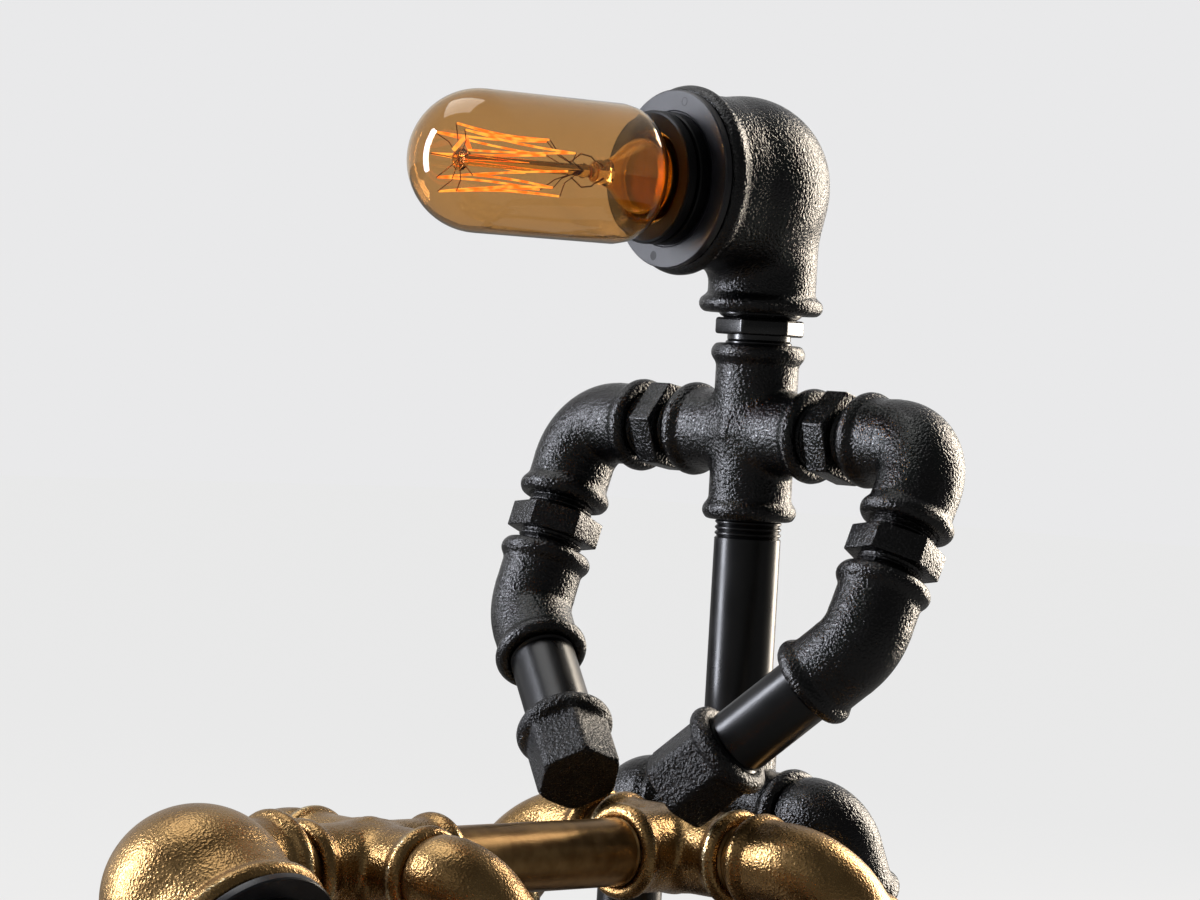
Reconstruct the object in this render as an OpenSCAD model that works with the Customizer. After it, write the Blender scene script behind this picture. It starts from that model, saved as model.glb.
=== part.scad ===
// Desk lamp built from pipe fittings: a black robot walking behind a low gold steed.
// Millimetres, +Z up. The robot faces -Y and its own left hand is on +X.
// Origin: the middle of the lamp's bounding box, at the underside of its pads.

/* [Pipe and fittings] */
// Outside radius of the steel pipe
pipe_r = 10.65; // [9:0.05:12]
// Inside radius of pipe and fittings
bore_r = 7.5; // [5:0.1:8]
// Radial play between a thread and its socket
thread_play = 0.05; // [0.02:0.01:0.1]
// Length of thread inside a socket
thread_len = 13; // [9:0.5:15]
// Outside radius of a fitting's body
body_r = 13.3; // [12.8:0.1:14.5]
// Outside radius of the bead round a fitting's mouth
bead_r = 15.1; // [14.6:0.1:17]
// Width of the bead
bead_w = 6; // [4:0.5:8]
// Centre to face of a cross or tee
cross_len = 28.2; // [26:0.1:34]
// Centre to face of a 90 degree elbow
elbow_len = 28.8; // [27:0.1:34]
// Centre to face of a 45 degree elbow
bend_len = 22.4; // [20:0.1:28]
// Centre of a street elbow to the face of the fitting that it enters
street_reach = 14.6; // [12:0.1:24]
// Gap between two fittings joined by a close nipple
close_gap = 4.4; // [3:0.1:10]
// Width across the flats of an arm nipple's hexagon
hex_flats = 26.5; // [24:0.5:28]
// Width of that hexagon along the pipe
hex_w = 8.5; // [5:0.5:10]

/* [Robot] */
// Gap at the shoulder between chest and shoulder elbow
shoulder_gap = 17.7; // [14:0.1:30]
// Gap on the upper arm between shoulder elbow and forearm elbow
arm_gap = 16.3; // [14:0.1:30]
// Pipe that shows on the forearm
forearm_len = 29.6; // [15:0.1:60]
// Length of a hand cap
cap_len = 25.5; // [20:0.5:35]
// Outside radius of a hand cap's collar
cap_bead_r = 15.7; // [14.8:0.1:17]
// Width across the flats of a hand cap
cap_flats = 24.6; // [23:0.1:26.5]
// Forward swing of the left upper arm
swing_left = 25.2; // [22:0.1:60]
// Forward swing of the right upper arm
swing_right = 19.2; // [17:0.1:60]
// Turn of the left forearm towards the front
twist_left = -2.8; // [-5:0.1:40]
// Turn of the right forearm towards the front
twist_right = 10.1; // [5:0.1:40]
// Chest centre to pelvis centre
torso_len = 120.5; // [116:0.5:122]
// Backward lean of the left leg
stride_left = 27; // [20:1:30]
// Width across the flats of a toe plug
plug_flats = 14; // [10:0.5:17]
// Height of a toe plug's head
plug_h = 6; // [3:0.5:8]

/* [Head] */
// Turn of the head towards the robot's right
head_yaw = 8; // [0:1:40]
// Chest centre to the middle of the head's mouth
mouth_z = 78.2; // [76:0.1:95]
// Lowest and highest face of the neck nipple's hexagon above the chest centre
neck_hex_low = 31; // [29:0.1:33]
// Height of the neck nipple's hexagon
neck_hex_h = 5.3; // [3:0.1:6]
// Width across the flats of the neck nipple's hexagon
neck_flats = 25; // [22:0.5:27]
// Radius of the neck nipple's larger thread
neck_r = 13.2; // [12:0.1:14]
// Centre of the head elbow to its neck face
head_small_len = 40.3; // [38:0.1:41]
// Outside radius of the bead at the neck
head_small_bead = 19.9; // [18.5:0.1:22]
// Centre of the head elbow to its mouth face
head_mouth_len = 37.7; // [36:0.1:48]
// Outside radius of the bead at the mouth
head_mouth_bead = 29.9; // [29:0.1:33]
// Radius of the head elbow's round back
head_ball_r = 28.4; // [27:0.1:28.5]

/* [Lampholder and bulb] */
// Outside radius of the mounting flange
flange_r = 28.1; // [27:0.1:28.5]
// Thickness of the mounting flange
flange_t = 3; // [2:0.1:5]
// Outside radius of the lampholder's threaded skirt
holder_r = 19.6; // [18.5:0.1:20.5]
// Outside radius of the lampholder's ring
holder_ring_r = 20.9; // [20.7:0.1:22]
// How far the lampholder stands out of its flange
holder_out = 9; // [8.5:0.1:20]
// Radius of the lampholder's contact thread
cap_r = 13.1; // [12.5:0.1:13.2]
// Radius of the bulb's glass tube
glass_r = 21.9; // [20:0.1:23.5]
// Thickness of the glass
glass_t = 0.9; // [0.6:0.1:1.5]
// Flange face to the tip of the bulb
bulb_out = 95.8; // [80:0.5:120]

/* [Steed] */
// Side shift of the steed from the robot's middle
steed_x = 5.3; // [3:0.1:7]
// Steed's rear tee in front of the robot's middle
steed_lead = 30; // [29:0.1:36]
// Chest centre to the steed's back
steed_drop = 131.6; // [130:0.1:136]
// Turn of the steed towards the robot's right
steed_yaw = 1.3; // [0:0.1:3]
// Rear tee to front cross
spine_pitch = 130.2; // [110:0.1:160]
// Lean of the steed's legs
steed_stride = 45; // [45:1:45]
// Gap above the steed's knees
knee_gap = 6; // [4:0.5:12]
// Pipe that shows on a shin
shin_len = 31; // [20:0.5:60]
// Height of a hoof cap
hoof_len = 20; // [18:0.5:26]
// Gap between the front cross and the steed's head
steed_neck_gap = 5.8; // [4:0.1:10]
// Turn of the steed's mouth up from straight down
steed_head_roll = 61; // [55:1:90]
// Centre of the steed's head elbow to its neck face
steed_small_len = 37; // [35:0.1:38]
// Outside radius of the bead at the steed's neck
steed_small_bead = 18.2; // [18:0.1:20]
// Radius of the larger thread in the steed's neck
steed_neck_r = 13.2; // [12:0.1:14]
// Centre of the steed's head elbow to its mouth face
steed_mouth_len = 35.2; // [34:0.1:44]
// Outside radius of the bead at the steed's mouth
steed_mouth_bead = 28.9; // [28.6:0.1:31]
// Radius of the steed's round brow
steed_ball_r = 27.3; // [26:0.1:27.5]

/* [Base] */
// Width of the board
board_w = 226; // [224:1:300]
// Depth of the board
board_d = 332; // [330:1:400]
// Thickness of the board
board_t = 22; // [20:1:30]
// Radius of the board's corners
board_corner = 14; // [6:1:30]
// Height of the rubber pads
pad_h = 4; // [2:0.5:8]
// Radius of the rubber pads
pad_r = 12; // [8:0.5:18]
// Robot's middle to the middle of the board, sideways
board_shift_x = 15; // [14:0.5:16]
// Robot's middle to the middle of the board, front to back
board_shift_y = 98; // [97:0.5:99]
// Radius of the dimmer knob
knob_r = 14; // [9:0.5:18]
// Height of the dimmer knob
knob_h = 15; // [10:0.5:20]
// How far the cable gland stands out behind the board
gland_out = 16; // [10:0.5:24]

/* [Hidden] */
$fn = 64;
eps = 0.01;

black = "#1b1b1d";
gold = "#b08a4a";

// threads and bends
socket_r = pipe_r + thread_play;
elbow_bend = elbow_len - thread_len - 1;
bend_turn = 45;
bend_bend = (bend_len - thread_len - 0.6) / tan(bend_turn / 2);
street_bend = 9;
ball_extra = 0.4;
close_r = pipe_r;
wire_r = 2.6;
flat_w = 6;
flat_h = 3;

// heights above the pads
board_top = pad_h + board_t;
knee_drop = elbow_len + knee_gap + bend_len;
shin_top = bend_len + knee_drop * cos(steed_stride);
steed_z = board_top + hoof_len + shin_len + shin_top + 0.05;
chest_z = steed_z + steed_drop;
pelvis_z = -torso_len;
floor_z = board_top - chest_z;

// the robot's middle in the lamp's frame
chest_x = -board_shift_x;
board_y = -gland_out / 2;
chest_y = board_y + board_shift_y;

// arms
shoulder_x = cross_len + shoulder_gap + elbow_len;
forearm_drop = elbow_len + arm_gap + bend_len;

// legs
hip_x = cross_len + street_reach;
foot_z = floor_z + bead_r + 0.05;
right_leg_len = pelvis_z - foot_z - 2 * elbow_len;
toe_low = (elbow_len - bead_w / 2) * sin(stride_left)
    + (bead_r - bead_w / 2) * cos(stride_left) + bead_w / 2 + 0.05;
left_leg_len = (pelvis_z - floor_z - toe_low) / cos(stride_left) - 2 * elbow_len;

// lampholder, measured along the bulb from the mouth face
holder_back = -21;
contact_floor = -12;
contact_low = -11.2;
cap_top = flange_t + bulb_out - 87;
glass_low = cap_top - 3;
glass_shoulder = cap_top + 7;
tube_end = flange_t + bulb_out - glass_r;
screw_ring = 24.8;
screw_r = 1.4;

// steed
wire_offset = 5.2;
hind_x = cross_len + close_gap + elbow_len;
fore_x = cross_len + street_reach;
steed_corner = cross_len + steed_neck_gap + steed_small_len;
shin_wire_top = steed_z - knee_drop * cos(steed_stride) - bend_bend * tan(bend_turn / 2);

// screws up through the board
foot_screw_r = 2.5;
foot_screw_head = 5;
foot_screw_low = pad_h + 6.5;

// dimmer and base wiring
knob_x = board_w / 2 - 33;
knob_y = 40;
dimmer_r = 11;
shaft_r = 3;
channel_w = 14;
channel_h = 12;
channel_z = pad_h + channel_h;
board_wire_z = pad_h + channel_h - 3;
gland_r = 8;
terminal = [34, 16, 9];

// ---- frames ----

module at_chest() {
    translate([chest_x, chest_y, chest_z]) children();
}

module at_pelvis() {
    at_chest() translate([0, 0, pelvis_z]) children();
}

// upper arm: the corner of the shoulder elbow, -Z down the arm
module at_shoulder(side) {
    swing = side > 0 ? swing_left : swing_right;
    at_chest() translate([side * shoulder_x, 0, 0]) rotate([-swing, 0, 0]) children();
}

// forearm: the corner of the forearm elbow, turned so that it bends to +X
module at_forearm(side) {
    turn = side > 0 ? 180 + twist_left : -twist_right;
    at_shoulder(side) translate([0, 0, -forearm_drop]) rotate([0, 0, turn]) children();
}

// hand: -Z along the forearm pipe, from the corner of the forearm elbow
module at_hand(side) {
    at_forearm(side) rotate([0, -bend_turn, 0]) children();
}

// a limb that leaves a branch on one side: +Z down the limb, +X back into the branch
module limb(side, lean) {
    rotate([lean, 0, 0]) rotate(side > 0 ? [0, 180, 0] : [180, 0, 0]) children();
}

module at_hip(side) {
    at_pelvis() translate([side * hip_x, 0, 0])
        rotate([side > 0 ? stride_left : 0, 0, 0]) children();
}

// corner of a foot elbow, turned so that its toe is on +X
module at_foot(side) {
    leg = side > 0 ? left_leg_len : right_leg_len;
    at_hip(side) translate([0, 0, -2 * elbow_len - leg]) rotate([0, 0, -90]) children();
}

// head: +Z out of the mouth, +Y up
module at_head() {
    at_chest() translate([0, 0, mouth_z]) rotate([0, 0, -head_yaw])
        rotate([90, 0, 0]) children();
}

module at_mouth() {
    at_head() translate([0, 0, head_mouth_len]) children();
}

module at_steed() {
    translate([chest_x + steed_x, chest_y - steed_lead, steed_z])
        rotate([0, 0, -steed_yaw]) children();
}

module at_steed_front() {
    at_steed() translate([0, -spine_pitch, 0]) children();
}

// steed's head: +Z out of the mouth, -Y back into the neck
module at_steed_head() {
    at_steed_front() translate([0, -steed_corner, 0])
        rotate([0, -steed_head_roll, 0]) rotate([180, 0, 0]) children();
}

module at_steed_mouth() {
    at_steed_head() translate([0, 0, steed_mouth_len]) children();
}

// the four legs of the steed: [along Y from the rear tee, side, corner distance, lean]
steed_legs = [
    [0, 1, hind_x, steed_stride],
    [0, -1, hind_x, -steed_stride],
    [-spine_pitch, 1, fore_x, steed_stride],
    [-spine_pitch, -1, fore_x, -steed_stride]
];
cable_run_y = hoof_at(steed_legs[0])[1] + foot_screw_head + channel_w / 2 + 3;

module at_steed_corner(leg) {
    at_steed() translate([leg[1] * leg[2], leg[0], 0]) children();
}

module at_steed_knee(leg) {
    at_steed_corner(leg) rotate([leg[3], 0, 0]) translate([0, 0, -knee_drop]) children();
}

// top of the shin, straight down from the knee's lower face
module at_steed_shin(leg) {
    at_steed_corner(leg)
        translate([0, knee_drop * sin(leg[3]), -knee_drop * cos(leg[3]) - bend_len])
            children();
}

// ---- stock shapes ----

module tube(outer, inner, length) {
    difference() {
        cylinder(r = outer, h = length);
        translate([0, 0, -1]) cylinder(r = inner, h = length + 2);
    }
}

module bead(radius = bead_r) {
    rotate_extrude() translate([radius - bead_w / 2, 0]) circle(d = bead_w);
}

// one branch of a fitting along +Z, from its centre to its face
module branch(length) {
    cylinder(r = body_r, h = length);
    translate([0, 0, length - bead_w / 2]) bead();
}

module branch_bore(length) {
    cylinder(r = bore_r, h = length + 1);
    translate([0, 0, length - thread_len - 0.3])
        cylinder(r = socket_r, h = thread_len + 2);
}

// a tee or cross: one branch for each rotation in the list
module branched(turns) {
    difference() {
        for (t = turns) rotate(t) branch(cross_len);
        for (t = turns) rotate(t) branch_bore(cross_len);
    }
}

// round bend from +Z to the direction that lies turn degrees from -Z towards +X
module bend(radius, sweep, turn) {
    reach = sweep * tan(turn / 2);
    translate([sweep, 0, reach]) rotate([90, 0, 0]) rotate([0, 0, 180])
        rotate_extrude(angle = turn) translate([sweep, 0]) circle(r = radius);
}

// elbow with its corner at the origin and one face up on +Z
module elbow(length, sweep, turn) {
    reach = sweep * tan(turn / 2);
    difference() {
        union() {
            bend(body_r, sweep, turn);
            for (t = [0, 180 - turn]) rotate([0, t, 0]) translate([0, 0, reach])
                branch(length - reach);
        }
        bend(bore_r, sweep, turn);
        for (t = [0, 180 - turn]) rotate([0, t, 0]) translate([0, 0, reach])
            branch_bore(length - reach);
    }
}

// 45 degree elbow with a ball at its corner, one face up on +Z
module bend_elbow() {
    turns = [0, 180 - bend_turn];
    difference() {
        union() {
            sphere(r = body_r + ball_extra);
            for (t = turns) rotate([0, t, 0]) branch(bend_len);
        }
        sphere(r = bore_r + ball_extra);
        for (t = turns) rotate([0, t, 0]) branch_bore(bend_len);
    }
}

// street elbow: socket up on +Z, male thread on +X
module street_elbow() {
    sweep = street_bend;
    difference() {
        union() {
            bend_body(sweep);
            translate([0, 0, sweep]) branch(elbow_len - sweep);
            rotate([0, 90, 0]) cylinder(r = pipe_r, h = street_reach + thread_len);
        }
        street_bore(sweep);
    }
}

// the bend of a street elbow is tighter than its body, so it is a ball between two stubs
module bend_body(sweep) {
    sphere(r = body_r + ball_extra);
    cylinder(r = body_r, h = sweep);
    rotate([0, 90, 0]) cylinder(r = body_r, h = sweep);
}

module street_bore(sweep) {
    bend(bore_r, sweep, 90);
    translate([0, 0, sweep]) branch_bore(elbow_len - sweep);
    rotate([0, 90, 0]) translate([0, 0, sweep])
        cylinder(r = bore_r, h = street_reach + thread_len);
}

// nipple along +Z: thread, gap with a hexagon in its middle, thread
module hex_nipple(gap) {
    difference() {
        union() {
            translate([0, 0, -thread_len]) cylinder(r = pipe_r, h = gap + 2 * thread_len);
            translate([0, 0, (gap - hex_w) / 2])
                cylinder(d = hex_flats / cos(30), h = hex_w, $fn = 6);
        }
        translate([0, 0, -thread_len - 1]) cylinder(r = bore_r, h = gap + 2 * thread_len + 2);
    }
}

module close_nipple(gap) {
    translate([0, 0, -thread_len]) tube(close_r, bore_r, gap + 2 * thread_len);
}

// nipple from a pipe thread at the bottom to a larger thread at the top
module reducing_nipple(low, hex_low, hex_h, flats, high, large_r) {
    difference() {
        union() {
            translate([0, 0, low - thread_len]) cylinder(r = pipe_r, h = hex_low - low + thread_len);
            translate([0, 0, hex_low]) cylinder(d = flats / cos(30), h = hex_h, $fn = 6);
            translate([0, 0, hex_low + hex_h])
                cylinder(r = large_r, h = high - hex_low - hex_h + thread_len);
        }
        translate([0, 0, low - thread_len - 1]) cylinder(r = bore_r, h = high - low + 2 * thread_len + 2);
    }
}

// pipe along +Z that shows length between two sockets
module pipe_between(length) {
    translate([0, 0, -thread_len]) tube(pipe_r, bore_r + 0.5, length + 2 * thread_len);
}

// cap with a round collar, its open face at the origin and its closed end on +Z
module pipe_cap(length) {
    difference() {
        union() {
            translate([0, 0, bead_w / 2]) bead(cap_bead_r);
            cylinder(r = body_r - 0.5, h = bead_w);
            cylinder(d = cap_flats / cos(30), h = length, $fn = 6);
        }
        translate([0, 0, -1]) cylinder(r = socket_r, h = thread_len + 1.5);
    }
}

// elbow with a small neck on -Y and a wide mouth on +Z
module reducing_elbow(small_len, small_bead, mouth_len, mouth_bead, ball_r, thread_r) {
    offset_z = ball_r * 0.4;
    neck_wall = small_bead - 2.4;
    difference() {
        union() {
            translate([0, 0, offset_z]) sphere(r = ball_r);
            translate([0, 0, offset_z]) cylinder(r = ball_r, h = mouth_len - offset_z);
            translate([0, 0, mouth_len - bead_w * 0.6]) bead(mouth_bead);
            translate([0, 0, mouth_len - bead_w * 0.6]) cylinder(r = mouth_bead - bead_w / 2, h = bead_w * 0.6);
            rotate([90, 0, 0]) cylinder(r1 = ball_r - offset_z, r2 = neck_wall, h = small_len);
            rotate([90, 0, 0]) translate([0, 0, small_len - bead_w / 2]) bead(small_bead);
        }
        translate([0, 0, offset_z]) sphere(r = ball_r - 5.6);
        translate([0, 0, offset_z]) cylinder(r = ball_r - 5.6, h = mouth_len);
        rotate([90, 0, 0]) cylinder(r = thread_r - 2.5, h = small_len + 1);
        rotate([90, 0, 0]) translate([0, 0, small_len - thread_len - 0.5])
            cylinder(r = thread_r + thread_play, h = thread_len + 2);
        flange_screw_places() cylinder(r = screw_r + thread_play, h = 60);
    }
}

// the two small screws that hold a socket flange, over the whole depth of the head
module flange_screw_places() {
    for (a = [-103, 77]) rotate([0, 0, a]) translate([screw_ring, 0, 12]) children();
}

module socket_flange_shape() {
    difference() {
        cylinder(r = flange_r, h = flange_t);
        translate([0, 0, -1]) cylinder(r = holder_r + thread_play, h = flange_t + 2);
        translate([0, 0, -20]) flange_screw_places() cylinder(r = screw_r + 0.2, h = 30);
    }
}

module flange_screw_shape() {
    translate([0, 0, -12]) flange_screw_places() {
        translate([0, 0, -7]) cylinder(r = screw_r, h = 7 + flange_t);
        translate([0, 0, flange_t]) cylinder(r = screw_r * 1.7, h = 1);
    }
}

// moulded lampholder: skirt through the flange, with two rings outside it
module lampholder_shape() {
    difference() {
        union() {
            translate([0, 0, holder_back]) cylinder(r = holder_r, h = flange_t + holder_out - holder_back);
            translate([0, 0, flange_t]) cylinder(r = holder_ring_r, h = 4.2);
            translate([0, 0, flange_t + holder_out - 4.2]) cylinder(r = holder_ring_r, h = 4.2);
        }
        translate([0, 0, contact_floor]) cylinder(r = cap_r + 1.5, h = 60);
        translate([0, 0, holder_back - 1]) cylinder(r = wire_r + 0.4, h = 5);
        for (x = [-6, 6]) translate([x, 0, holder_back + 3]) cylinder(r = 1.2, h = 30);
    }
}

// brass screw shell and centre tongue
module contact_shape() {
    translate([0, 0, contact_low]) tube(cap_r + 1.3, cap_r + 0.4, 20);
    translate([0, 0, contact_floor + 0.05]) cylinder(r = 3.2, h = 1.2);
}

module bulb_glass_shape() {
    difference() {
        glass_body(0);
        glass_body(glass_t);
        translate([0, 0, glass_low - 1]) cylinder(r = cap_r - 1 - glass_t, h = 3);
    }
}

module glass_body(inset) {
    neck = cap_r - 1 - inset;
    low = glass_low + inset;
    translate([0, 0, low]) cylinder(r = neck, h = cap_top - low + eps);
    translate([0, 0, cap_top]) cylinder(r1 = neck, r2 = glass_r - inset, h = glass_shoulder - cap_top);
    translate([0, 0, glass_shoulder - eps]) cylinder(r = glass_r - inset, h = tube_end - glass_shoulder + eps);
    translate([0, 0, tube_end]) sphere(r = glass_r - inset);
}

// screw cap of the bulb, with its insulator and centre contact
module bulb_cap_shape() {
    low = contact_floor + 1.5;
    difference() {
        union() {
            translate([0, 0, low + 4.5]) cylinder(r = cap_r, h = cap_top - low - 4.5);
            translate([0, 0, low + 1]) cylinder(r1 = 6, r2 = cap_r - 1, h = 3.5);
            translate([0, 0, low]) cylinder(r = 4.6, h = 1 + eps);
        }
        translate([0, 0, glass_low - 0.4]) cylinder(r = cap_r - 0.8, h = 10);
        translate([0, 0, low + 5]) cylinder(r = cap_r - 1.6, h = 30);
    }
}

// glass stem with its flare, rod and the disc that the filament hooks spring from
module bulb_stem_shape() {
    flare = cap_top - 2;
    translate([0, 0, flare]) cylinder(r1 = cap_r - 2.6, r2 = 4, h = 10);
    translate([0, 0, flare + 10 - eps]) cylinder(r = 4, h = 8);
    translate([0, 0, flare + 18 - eps]) cylinder(r = 1.6, h = 55);
    translate([0, 0, flare + 73 - eps]) cylinder(r = 3.2, h = 2);
}

// zigzag filament: long strands round the rod, joined at their ends
module filament_shape() {
    strands = 8;
    ring = 9.5;
    low = cap_top + 37;
    high = cap_top + 74;
    wire = 0.35;
    hook = 4.8;
    for (i = [0 : strands - 1]) {
        a = i * 360 / strands;
        b = (i + 1) * 360 / strands;
        z = i % 2 == 0 ? high : low;
        rod([ring * cos(a), ring * sin(a), low], [ring * cos(a), ring * sin(a), high], wire);
        if (i < strands - 1)
            rod([ring * cos(a), ring * sin(a), z], [ring * cos(b), ring * sin(b), z], wire);
    }
    rod([ring, 0, low], [hook, 0, cap_top + 14], wire);
    rod([ring * cos(315), ring * sin(315), low], [hook * cos(315), hook * sin(315), cap_top + 14], wire);
    for (a = [0, 315])
        rod([hook * cos(a), hook * sin(a), cap_top + 14], [hook * cos(a), hook * sin(a), cap_top + 11], wire * 1.5);
}

// round bar from one point to another, with a knot at its far end
module rod(from, to, radius) {
    d = to - from;
    length = norm(d);
    translate(from) rotate([0, acos(d[2] / length), atan2(d[1], d[0])])
        cylinder(r = radius, h = length, $fn = 16);
    translate(to) sphere(r = radius * 1.3, $fn = 16);
}

// plug in a toe: thread down the elbow's branch, hexagonal head outside
module toe_plug() {
    difference() {
        union() {
            translate([0, 0, -thread_len + 1]) cylinder(r = pipe_r, h = thread_len + 0.5);
            translate([0, 0, 0.5]) cylinder(d = plug_flats / cos(30), h = plug_h, $fn = 6);
        }
        translate([0, 0, -thread_len]) cylinder(r = bore_r, h = thread_len - 2);
    }
}

// ---- base ----

module rounded_plate(w, d, t, r) {
    translate([-w / 2 + r, -d / 2, 0]) cube([w - 2 * r, d, t]);
    translate([-w / 2, -d / 2 + r, 0]) cube([w, d - 2 * r, t]);
    for (x = [-1, 1]) for (y = [-1, 1])
        translate([x * (w / 2 - r), y * (d / 2 - r), 0]) cylinder(r = r, h = t);
}

// places where a wire or a screw goes through the board
module at_robot_hole() {
    translate([chest_x - hip_x, chest_y, 0]) children();
}

module at_steed_hole() {
    translate([steed_hole()[0], steed_hole()[1], 0]) children();
}

// plan position of a hoof
function hoof_at(leg) =
    let (x = leg[1] * leg[2], y = leg[0] + knee_drop * sin(leg[3]))
    [chest_x + steed_x + x * cos(steed_yaw) + y * sin(steed_yaw),
     chest_y - steed_lead - x * sin(steed_yaw) + y * cos(steed_yaw)];

function steed_hole() = hoof_at(steed_legs[2]) + [0, wire_offset];

module at_dimmer() {
    translate([knob_x, knob_y, 0]) children();
}

module base_board() {
    color("#2a2422") difference() {
        translate([0, board_y, pad_h]) rounded_plate(board_w, board_d, board_t, board_corner);
        channels(channel_w, channel_h, pad_h - 1);
        at_robot_hole() cylinder(r = wire_r + 1, h = board_top + 1);
        at_steed_hole() cylinder(r = wire_r + 1, h = board_top + 1);
        at_dimmer() cylinder(r = dimmer_r + 1.5, h = channel_z + 1);
        at_dimmer() cylinder(r = 5.2, h = board_top + 1);
        foot_screw_places() {
            cylinder(r = foot_screw_r + 0.1, h = board_top + 1);
            cylinder(r = foot_screw_head + 0.4, h = foot_screw_low + 3.5);
        }
        gland_hole();
        pad_places() translate([0, 0, -1]) cylinder(r = 2, h = 8);
    }
}

// grooves under the board: across at the back, forward to each wire hole
module channels(w, h, z) {
    back = cable_run_y;
    hub = [chest_x - hip_x, back];
    for (p = [[hub, [chest_x - hip_x, chest_y]], [hub, [knob_x, back]],
              [[knob_x, back], [knob_x, knob_y]], [[0, back], [0, board_y + board_d / 2 - 12]],
              [[steed_hole()[0], back], steed_hole()]])
        groove(p[0], p[1], w, h + 1, z);
}

module groove(a, b, w, h, z) {
    low = [min(a[0], b[0]), min(a[1], b[1])];
    high = [max(a[0], b[0]), max(a[1], b[1])];
    translate([low[0] - w / 2, low[1] - w / 2, z])
        cube([high[0] - low[0] + w, high[1] - low[1] + w, h]);
}

module pad_places() {
    for (x = [-1, 1]) for (y = [-1, 1])
        translate([x * (board_w / 2 - 24), board_y + y * (board_d / 2 - 24), pad_h]) children();
}

module base_pads() {
    color("#101010") pad_places() {
        translate([0, 0, -pad_h]) cylinder(r = pad_r, h = pad_h);
        cylinder(r = 1.95, h = 6);
    }
}

module gland_hole() {
    at_gland() translate([0, 0, -30]) cylinder(r = gland_r + thread_play, h = 31);
}

// cable gland: +Z out of the board's back edge
module at_gland() {
    translate([0, board_y + board_d / 2, pad_h + board_t / 2]) rotate([-90, 0, 0]) children();
}

module cable_gland() {
    color("#151515") at_gland() difference() {
        union() {
            translate([0, 0, -22]) cylinder(r = gland_r, h = 22 + eps);
            cylinder(r = 10.5, h = 5, $fn = 6);
            translate([0, 0, 5]) cylinder(r = 9, h = gland_out - 8);
            translate([0, 0, gland_out - 3]) cylinder(r1 = 9, r2 = 6.5, h = 3);
        }
        translate([0, 0, -30]) cylinder(r = 3.6, h = 60);
    }
}

module terminal_block() {
    color("#e8e4da") translate([0, cable_run_y, channel_z - terminal[2]]) difference() {
        translate([-terminal[0] / 2, -5, 0]) cube([terminal[0], 10, terminal[2] - 0.05]);
        for (x = [-11, 0, 11]) translate([x, 0, -1]) cylinder(r = 1.8, h = 5);
    }
}

// flat cable under the board, from the terminal block to each wire hole and the dimmer
module base_wires() {
    back = cable_run_y;
    edge = terminal[0] / 2 + flat_w / 2 + 0.3;
    color("#3a3a3a") for (p = [[[-edge, back], [chest_x - hip_x, back]],
                               [[chest_x - hip_x, back], [chest_x - hip_x, chest_y]],
                               [[edge, back], [knob_x, back]],
                               [[knob_x, back], [knob_x, knob_y + dimmer_r + flat_w]],
                               [[steed_hole()[0], back], steed_hole() + [0, flat_w + 1]]])
        groove(p[0], p[1], flat_w, flat_h, board_wire_z - flat_h - 0.3);
}

module dimmer_body() {
    color("#202020") at_dimmer() difference() {
        union() {
            translate([0, 0, channel_z - 10]) cylinder(r = dimmer_r, h = 10 - 0.05);
            translate([0, 0, channel_z - 0.1]) cylinder(r = 5, h = board_top - channel_z + 4);
            translate([0, 0, board_top + 0.05]) cylinder(r = 7.5, h = 2.5, $fn = 6);
        }
        translate([0, 0, channel_z - 4]) cylinder(r = shaft_r + thread_play, h = 60);
    }
}

module dimmer_knob() {
    color("#8d8d90") at_dimmer() {
        difference() {
            translate([0, 0, board_top + 5]) cylinder(r = knob_r, h = knob_h);
            translate([0, 0, board_top + 4]) cylinder(r = 8.6, h = 3.5);
            for (a = [0 : 20 : 340]) rotate([0, 0, a])
                translate([knob_r + 0.6, 0, board_top + 8]) cylinder(r = 1.4, h = knob_h, $fn = 16);
            translate([-0.7, -knob_r - 1, board_top + 5 + knob_h - 0.8]) cube([1.4, knob_r - 3, 2]);
        }
        translate([0, 0, channel_z - 3.5]) cylinder(r = shaft_r, h = board_top - channel_z + 14);
    }
}

// ---- robot ----

module chest_cross() {
    color(black) at_chest()
        branched([[0, 0, 0], [180, 0, 0], [0, 90, 0], [0, -90, 0]]);
}

module body_pipe() {
    color(black) at_pelvis() translate([0, 0, cross_len])
        pipe_between(torso_len - 2 * cross_len);
}

module pelvis_tee() {
    color(black) at_pelvis() branched([[0, 0, 0], [0, 90, 0], [0, -90, 0]]);
}

module hip_elbows() {
    color(black) {
        at_pelvis() translate([hip_x, 0, 0]) limb(1, stride_left) street_elbow();
        at_pelvis() translate([-hip_x, 0, 0]) limb(-1, 0) street_elbow();
    }
}

module leg_pipe_left() {
    color(black) at_hip(1) translate([0, 0, -elbow_len - left_leg_len])
        pipe_between(left_leg_len);
}

module leg_pipe_right() {
    color(black) at_hip(-1) translate([0, 0, -elbow_len - right_leg_len])
        pipe_between(right_leg_len);
}

module foot_elbow_left() {
    color(black) at_foot(1) elbow(elbow_len, elbow_bend, 90);
}

module foot_elbow_right() {
    color(black) difference() {
        at_foot(-1) elbow(elbow_len, elbow_bend, 90);
        at_robot_hole() cylinder(r = wire_r + 1, h = board_top + bead_r + 4);
        at_foot_screw() cylinder(r = foot_screw_r + thread_play, h = board_top + bead_r);
    }
}

module toe_plugs() {
    color(black) for (side = [-1, 1])
        at_foot(side) rotate([0, 90, 0]) translate([0, 0, elbow_len]) toe_plug();
}

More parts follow.
